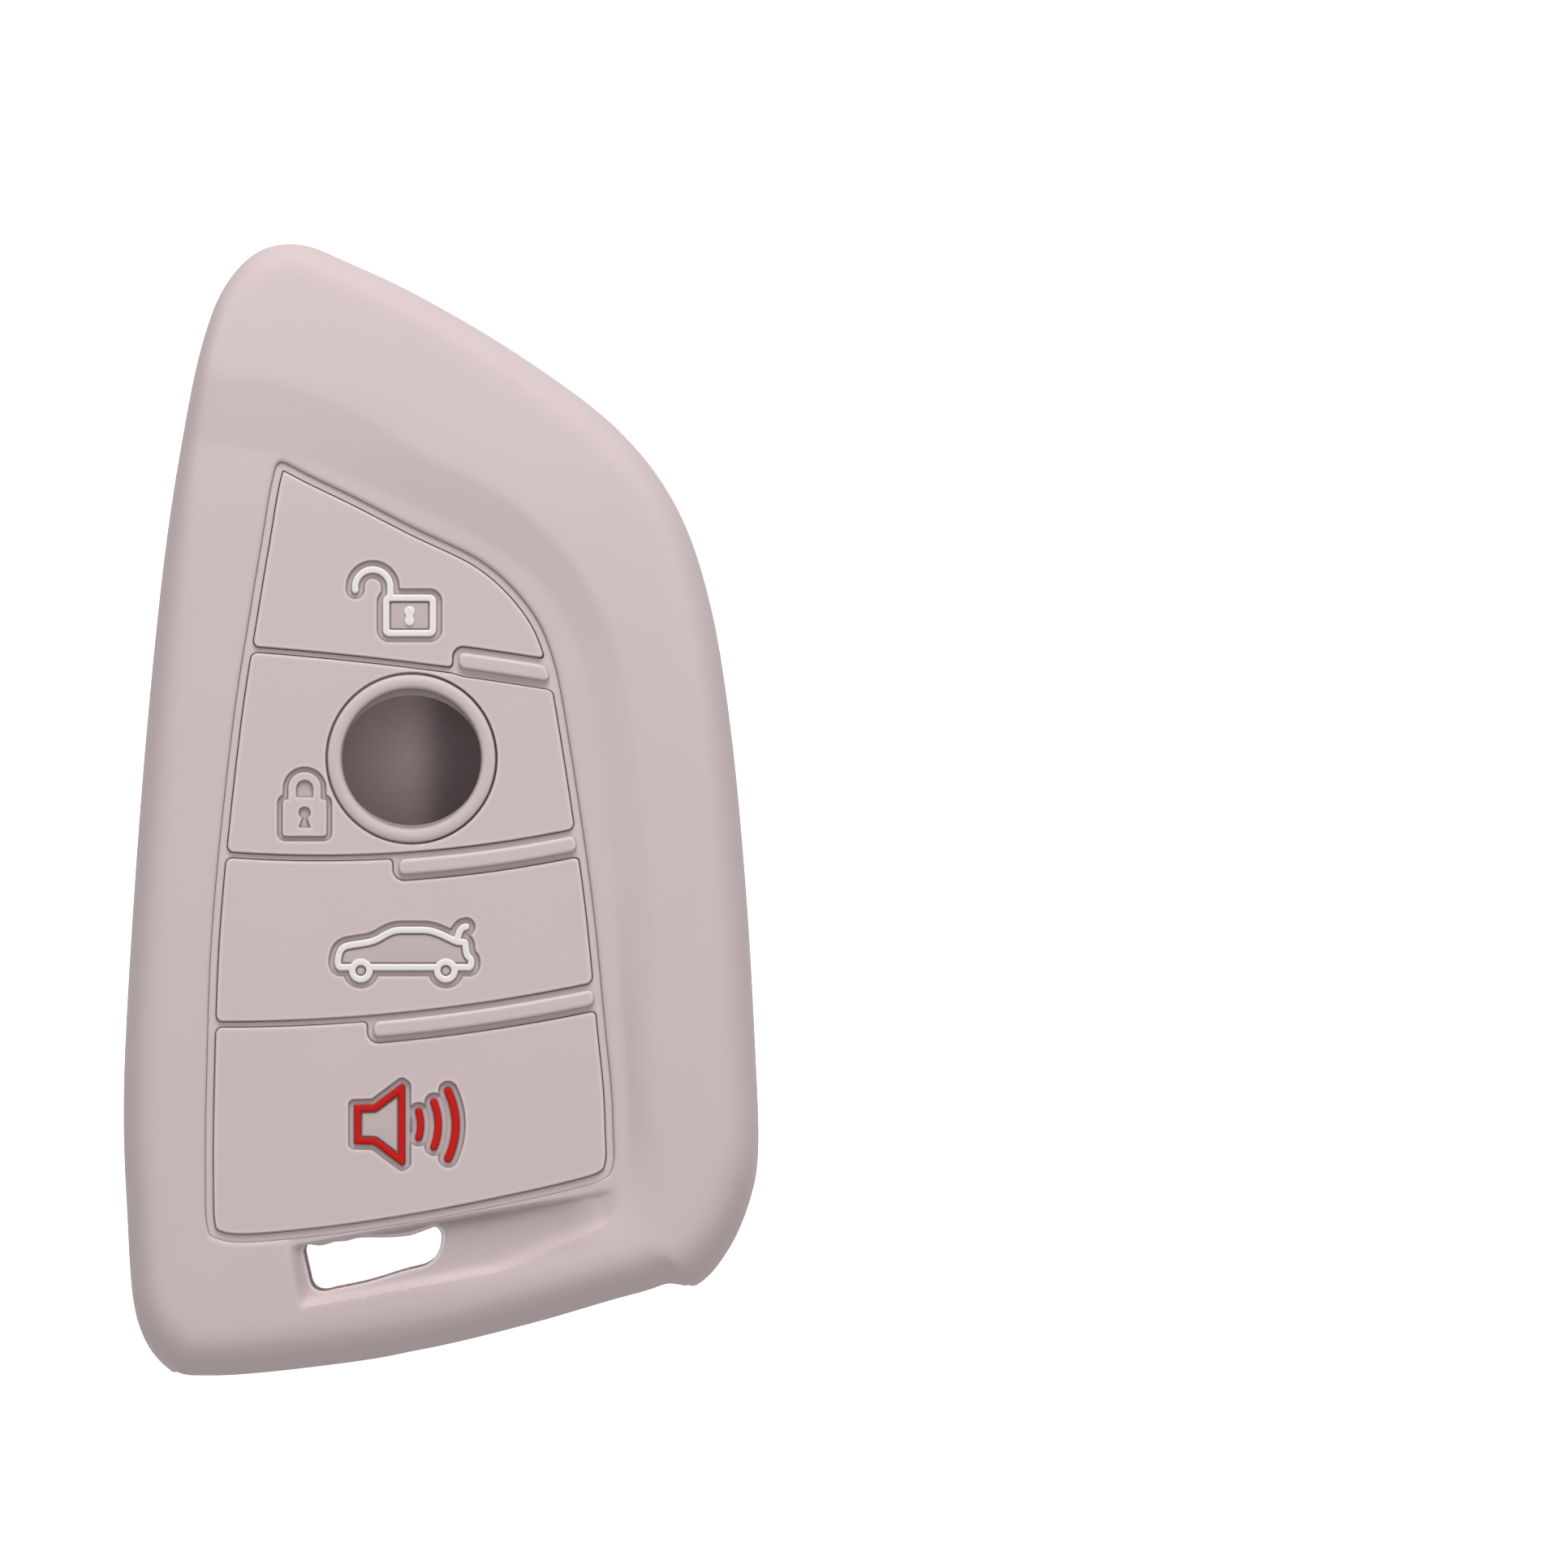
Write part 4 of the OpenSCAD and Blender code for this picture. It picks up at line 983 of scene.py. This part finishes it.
# Painted shade and painted highlight against the distance in from an edge, for pads and bars, the web
# (painted shade by its walls, painted light across its floor), and white and red lines
edgeCurve = ([0, 0.03, 0.07, 0.12, 0.18, 0.27, 0.4], [-0.4, -0.25, 0.0, 0.55, 0.5, 0.12, 0.0])
webCurve = ([0, 0.04, 0.1, 0.2, 0.3], [-0.12, -0.05, 0.12, 0.2, 0.2])
whiteCurve = ([0, 0.03, 0.07, 0.12, 0.2, 0.28], [-0.4, 0.1, 0.5, 0.35, 0.0, -0.12])
redCurve = ([0, 0.05, 0.1, 0.2], [-0.45, -0.25, 0.0, 0.0])
# And across a moat, painted shade at its walls and a painted highlight on the pad's edge: from the shape
# that a symbol encloses, under its line, over the floor to the pad
inner = moat + line
moatCurve = ([-inner - 1.0, -inner - 0.18, -inner - 0.1, -inner - 0.03, -moat, 0.06 - moat, 0.14 - moat,
              -0.16, -0.07, 0, 0.03, 0.07, 0.12, 0.18, 0.3],
             [-0.02, -0.18, -0.35, -0.6, -0.6, -0.5, -0.14, -0.14, -0.42, -0.65, -0.35, 0.1, 0.5, 0.4, 0])


# Painted light on a pad: whichever painted shade or highlight, from its edge or from a moat, is stronger
def padTone(f, s):
    edge, sunk = np.interp(-f, *edgeCurve), np.interp(s, *moatCurve)
    return np.where(np.abs(edge) > np.abs(sunk), edge, sunk)


def toneOn(curve):
    return lambda f, s: np.interp(-f, *curve)


def panelFloor(q):
    return frontLevel(q[:, 1]) - panelDepth


# The moat's floor; what a symbol's line encloses stands higher
def sunkDepth(s):
    island = ramp(-s - moat - line - symbols["islandGap"], 0, symbols["islandSlope"])
    return symbols["moatDepth"] - symbols["islandRise"] * island


def padHeight(q, f, s):
    edge = buttons["edge"] * buttons["moatEdgeShare"]
    step = np.clip(-s / symbols["moatWall"], 0, 1)
    return (frontLevel(q[:, 1]) - edgeFall(-f, buttons["edge"], buttons["edge"])
            - np.where(s > 0, edgeFall(s, edge, edge), edge * (1 - step) + sunkDepth(s) * step))


pads = {}
for name, padField in padFields.items():
    if name == "lock":
        padField = np.maximum(padField, -ringField)
    rowsUsed, colsUsed = (np.flatnonzero((padField < buttons["windowMargin"]).any(k)) for k in (1, 0))
    window = np.s_[rowsUsed[0]:rowsUsed[-1] + 1, colsUsed[0]:colsUsed[-1] + 1]
    part = padField[window]
    spot = np.column_stack([gridX[window].ravel(), gridY[window].ravel()])
    sunk = sunkFields[name](spot).reshape(part.shape)
    pads[name] = plate(name + "_pad_skin", part, panelX[window[1]], panelY[window[0]], edgeSteps, padHeight,
                       panelFloor, padTone, buttons["padSpacing"], sunk, moatSteps)
    print(name, "pad", len(pads[name].data.polygons), "faces")
webPiece = plate("web_skin", web, panelX, panelY, webSteps,
                 lambda q, f, s: frontLevel(q[:, 1]) - buttons["depth"],
                 panelFloor, toneOn(webCurve), buttons["webSpacing"])
bars = [plate(name + "_bar_skin", one, panelX, panelY, barSteps,
              lambda q, f, s: frontLevel(q[:, 1]) + buttons["barRise"]
              - edgeFall(-f, buttons["barEdge"], buttons["barEdge"]),
              lambda q: frontLevel(q[:, 1]) - buttons["depth"] + buttons["seat"],
              toneOn(edgeCurve), buttons["barSpacing"])
        for name, one in zip(("upper", "middle", "lower"), barFields)]


# A symbol's line, worked out on a fine grid from low to high about its place
def symbolPiece(name, fieldOf, place, low, high, curve):
    xs, ys, q = gridOver(place + low, place + high, symbols["pitch"])
    return plate(name, fieldOf(q).reshape(len(ys), len(xs)), xs, ys, lineSteps,
                 lambda q, f, s: frontLevel(q[:, 1]) - edgeFall(-f, symbols["edge"], symbols["edge"]),
                 lambda q: frontLevel(q[:, 1]) - symbols["moatDepth"] + buttons["seat"],
                 toneOn(curve), symbols["spacing"])


unlockSymbol, unlockKeyhole, trunkSymbol, hornSymbol, waveSymbol = (symbolPiece(*values) for values in (
    ("open_padlock", lambda q: openLock(q)[0], openPlace, (-5, -2.2), (2.6, 4.4), whiteCurve),
    ("padlock_keyhole", openKeyhole, openPlace, (-0.8, -1.2), (0.8, 1.2), whiteCurve),
    ("open_car", lambda q: carLines(q)[0], carPlace, (-6, -2.9), (6, 2.9), whiteCurve),
    ("horn_outline", hornLines, hornPlace, (-3.2, -3.6), (1.9, 3.6), redCurve),
    ("sound_arcs", waveLines, hornPlace, (1.8, -3.4), (6.2, 3.4), redCurve)))

# Collar round the badge window: its section turned about the window's middle; the lower lip is a
# slightly flattened ring, seen as a crescent inside the upper edge
collar = dict(
    columns=224, rows=17, fullness=0.8, lip=(5.50, 5.08), lipShift=-0.13, lipTop=-0.5, lipInside=0.01,
    tone=([0, 0.03, 0.1, 0.2, 0.35, 0.9, 1.05, 1.15], [-1, -0.8, 0.1, 0.3, 0, 0, -0.3, -0.6]))
theta = np.linspace(0, 2 * np.pi, collar["columns"], endpoint=False)
turn = np.linspace(0, np.pi, collar["rows"])
lipRadius = 1 / np.hypot(np.cos(theta) / collar["lip"][0], np.sin(theta) / collar["lip"][1])
lipRadius = lipRadius + collar["lipShift"] * np.sin(theta)
lipRadius = np.minimum(lipRadius, buttons["badge"] - collar["lipInside"])
sectionR = buttons["badge"] + buttons["collar"] * (0.5 + 0.5 * np.cos(turn))
sectionZ = (buttons["collarRise"] + buttons["crease"]) * np.sin(turn) ** collar["fullness"]
sectionZ -= buttons["crease"]
radii = [collarOuter, *sectionR, buttons["badge"], lipRadius, lipRadius]
heights = [-panelDepth, *sectionZ, collar["lipTop"], collar["lipTop"], -panelDepth]
ringPoints = np.array([
    np.column_stack([badge[0] + r * np.cos(theta), badge[1] + r * np.sin(theta),
                     frontLevel(badge[1]) + z + 0 * theta]) for r, z in zip(radii, heights)])
ringPoints = np.concatenate([ringPoints, ringPoints[:1]])
ringFaces = gridFaces(len(ringPoints), len(theta), True)
collarPiece = pieceFrom("badge_ring", [(ringPoints.reshape(-1, 3), ringFaces)])
across = collarOuter - np.hypot(*(meshPoints(collarPiece.data)[:, :2] - badge).T)
# Painted shade in the crease round the collar and at its inner edge, a faint painted highlight just inside
# the crease
setTone(collarPiece.data, np.interp(across, *collar["tone"]))
print("symbols and collar made")


# Finishes: matte silicone in three colours, a paler colour painted on the inside skin as painted light,
# and how pale a painted highlight and how dark painted shade become
finish = dict(
    mauve=((0.625, 0.519, 0.525), (0.591, 0.487, 0.493)), paintedInsideLight=(0.98, 0.80, 0.82),
    white=((0.845, 0.787, 0.745), (0.795, 0.74, 0.695)), red=((0.60, 0.008, 0.005), (0.51, 0.006, 0.004)),
    roughness=(0.62, 0.86), specular=0.2, grain=(5200.0, 3.0), cloud=(140.0, 2.0), cloudShare=0.45,
    bump=0.18, grainDepth=0.00003, wornPale=0.3, creviceDark=0.35)


def nodeGroup(name, outputs):
    group = bpy.data.node_groups.new(name, "ShaderNodeTree")
    for title, kind in outputs:
        group.interface.new_socket(name=title, in_out="OUTPUT", socket_type=kind)
    return group, group.nodes.new("NodeGroupOutput")


# Fine moulded grain with faint cloudiness: a shade from 0 to 1, a roughness and a height
def makeMatteGrain():
    group, out = nodeGroup("matteGrain", [("Shade", "NodeSocketFloat"), ("Roughness", "NodeSocketFloat"),
                                          ("Height", "NodeSocketFloat")])
    nodes, link = group.nodes, group.links.new
    place = nodes.new("ShaderNodeTexCoord")
    grain, cloud = nodes.new("ShaderNodeTexNoise"), nodes.new("ShaderNodeTexNoise")
    for noise, name in ((grain, "grain"), (cloud, "cloud")):
        noise.inputs["Scale"].default_value, noise.inputs["Detail"].default_value = finish[name]
        link(place.outputs["Object"], noise.inputs["Vector"])
    shade = nodes.new("ShaderNodeMix")
    shade.inputs["Factor"].default_value = finish["cloudShare"]
    link(grain.outputs["Fac"], shade.inputs["A"])
    link(cloud.outputs["Fac"], shade.inputs["B"])
    rough = nodes.new("ShaderNodeMapRange")
    rough.inputs["To Min"].default_value, rough.inputs["To Max"].default_value = finish["roughness"]
    link(shade.outputs["Result"], rough.inputs["Value"])
    link(shade.outputs["Result"], out.inputs["Shade"])
    link(rough.outputs["Result"], out.inputs["Roughness"])
    link(grain.outputs["Fac"], out.inputs["Height"])
    return group


# Masks from the painted light: painted highlights above 0, painted shade below 0
def makePaintedLightMasks():
    group, out = nodeGroup("paintedLightMasks", [("PaintedHighlight", "NodeSocketFloat"), ("PaintedShade", "NodeSocketFloat")])
    tone = group.nodes.new("ShaderNodeAttribute")
    tone.attribute_name = "paintedShadeHighlight"
    for name, sign in (("PaintedHighlight", 1.0), ("PaintedShade", -1.0)):
        mask = group.nodes.new("ShaderNodeMapRange")
        mask.inputs["From Max"].default_value = sign
        group.links.new(tone.outputs["Fac"], mask.inputs["Value"])
        group.links.new(mask.outputs["Result"], out.inputs[name])
    return group


matteGrain, paintedLightMasks = makeMatteGrain(), makePaintedLightMasks()


# Matte silicone: its two shades mixed by the grain, then a paler colour painted inside as painted light,
# paler for a painted highlight along edges and darker for painted shade in grooves and creases
def silicone(name, light, dark):
    material = bpy.data.materials.new(name)
    material.use_nodes = True
    nodes, link = material.node_tree.nodes, material.node_tree.links.new
    grain, edges = nodes.new("ShaderNodeGroup"), nodes.new("ShaderNodeGroup")
    grain.node_tree, edges.node_tree = matteGrain, paintedLightMasks
    inside = nodes.new("ShaderNodeAttribute")
    inside.attribute_name = "paintedInsideLight"
    colour = None
    for factor, ends in (
            (grain.outputs["Shade"], {"A": dark, "B": light}),
            (inside.outputs["Fac"], {"B": finish["paintedInsideLight"]}),
            (edges.outputs["PaintedHighlight"], {"B": [c + (1 - c) * finish["wornPale"] for c in light]}),
            (edges.outputs["PaintedShade"], {"B": [c * finish["creviceDark"] for c in dark]})):
        mix = nodes.new("ShaderNodeMix")
        mix.data_type = "RGBA"
        for end, value in ends.items():
            mix.inputs[end].default_value = (*value, 1)
        link(factor, mix.inputs["Factor"])
        if colour is not None:
            link(colour, mix.inputs["A"])
        colour = mix.outputs["Result"]
    shader, bump = nodes["Principled BSDF"], nodes.new("ShaderNodeBump")
    shader.inputs["Specular IOR Level"].default_value = finish["specular"]
    bump.inputs["Strength"].default_value = finish["bump"]
    bump.inputs["Distance"].default_value = finish["grainDepth"]
    link(colour, shader.inputs["Base Color"])
    link(grain.outputs["Roughness"], shader.inputs["Roughness"])
    link(grain.outputs["Height"], bump.inputs["Height"])
    link(bump.outputs["Normal"], shader.inputs["Normal"])
    return material


finishes = {"silicone_" + name: silicone(name + "_silicone", *finish[name])
            for name in ("mauve", "white", "red")}
for piece, slotName, body, node in (
        (sleeve, "silicone_mauve", "sleeve", "sleeve"),
        (webPiece, "silicone_mauve", "sleeve", "button_web"),
        *((bar, "silicone_mauve", "sleeve", bar.name.replace("_skin", "")) for bar in bars),
        *((pad, "silicone_mauve", name + "_button", name + "_pad") for name, pad in pads.items()),
        (collarPiece, "silicone_mauve", "lock_button", "badge_collar"),
        (unlockSymbol, "silicone_white", "unlock_button", "unlock_symbol"),
        (unlockKeyhole, "silicone_white", "unlock_button", "unlock_keyhole"),
        (trunkSymbol, "silicone_white", "trunk_button", "trunk_symbol"),
        (hornSymbol, "silicone_red", "panic_button", "horn_symbol"),
        (waveSymbol, "silicone_red", "panic_button", "sound_waves")):
    piece.data.materials.append(finishes[slotName])
    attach(piece, body)
    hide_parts(node)
print("pieces dressed")

# Floor, light and camera
studio = dict(
    floorSize=4.0, floorDrop=0.00005, floorTone=0.62, floorRough=0.9, floorSpecular=0.1, floorGlow=0.95,
    sky=0.43, softbox=(1.9, 53.0, 2.6, 57.0, 5.0), overhead=(2.1, 13.0, 3.0, 0.0, 0.0),
    cameraAt=(0.02686, 0.0020), level=0.012, frameWidth=0.1227, lens=800.0, sensor=36.0)
half = studio["floorSize"]
floorMesh = bpy.data.meshes.new("floor")
floorMesh.from_pydata([(x * half, y * half, -studio["floorDrop"])
                       for x, y in ((-1, -1), (1, -1), (1, 1), (-1, 1))], [], [(0, 1, 2, 3)])
floor = addObject("floor", floorMesh)


# White for the eye and for reflections, plain light for everything else
def seenRays(nodes, link):
    path, first, second = (nodes.new("ShaderNode" + kind) for kind in ("LightPath", "Math", "Math"))
    first.operation = second.operation = "MAXIMUM"
    link(path.outputs["Is Camera Ray"], first.inputs[0])
    link(path.outputs["Is Glossy Ray"], first.inputs[1])
    link(first.outputs[0], second.inputs[0])
    link(path.outputs["Is Transmission Ray"], second.inputs[1])
    return second.outputs[0]


paper = bpy.data.materials.new("white_paper")
paper.use_nodes = True
nodes, link = paper.node_tree.nodes, paper.node_tree.links.new
sheet = nodes["Principled BSDF"]
sheet.inputs["Base Color"].default_value = (*[studio["floorTone"]] * 3, 1)
sheet.inputs["Roughness"].default_value = studio["floorRough"]
sheet.inputs["Specular IOR Level"].default_value = studio["floorSpecular"]
glow, strength, added = (nodes.new("ShaderNode" + kind) for kind in ("Emission", "Math", "AddShader"))
strength.operation = "MULTIPLY"
strength.inputs[1].default_value = studio["floorGlow"]
link(seenRays(nodes, link), strength.inputs[0])
link(strength.outputs[0], glow.inputs["Strength"])
link(sheet.outputs["BSDF"], added.inputs[0])
link(glow.outputs["Emission"], added.inputs[1])
link(added.outputs["Shader"], nodes["Material Output"].inputs["Surface"])
floorMesh.materials.append(paper)

world = bpy.data.worlds.new("studio")
bpy.context.scene.world = world
world.use_nodes = True
nodes, link = world.node_tree.nodes, world.node_tree.links.new
sky = nodes["Background"]
sky.inputs["Color"].default_value = (1, 1, 1, 1)
level = nodes.new("ShaderNodeMapRange")
level.inputs["To Min"].default_value = studio["sky"]
level.inputs["To Max"].default_value = 1.0
link(seenRays(nodes, link), level.inputs["Value"])
link(level.outputs["Result"], sky.inputs["Strength"])


# A disk lamp of a size and power, some way from the object, tilted from overhead and turned
def addLamp(name, size, power, away, tilt, turn):
    light = bpy.data.lights.new(name, "AREA")
    light.shape, light.size, light.energy = "DISK", size, power
    lamp = addObject(name, light)
    tilt, turn = radians(tilt), radians(turn)
    lamp.location = (away * sin(tilt) * sin(turn), away * sin(tilt) * cos(turn), away * cos(tilt))
    lamp.rotation_euler = (-tilt, 0, -turn)


for name in ("softbox", "overhead"):
    addLamp(name, *studio[name])

lens = bpy.data.cameras.new("photo_view")
lens.lens, lens.sensor_width = studio["lens"], studio["sensor"]
camera = addObject("photo_view", lens)
away = studio["frameWidth"] * studio["lens"] / studio["sensor"]
camera.location = (*studio["cameraAt"], studio["level"] + away)
bpy.context.scene.camera = camera
bpy.context.scene.view_settings.view_transform = "Standard"
print("studio set")
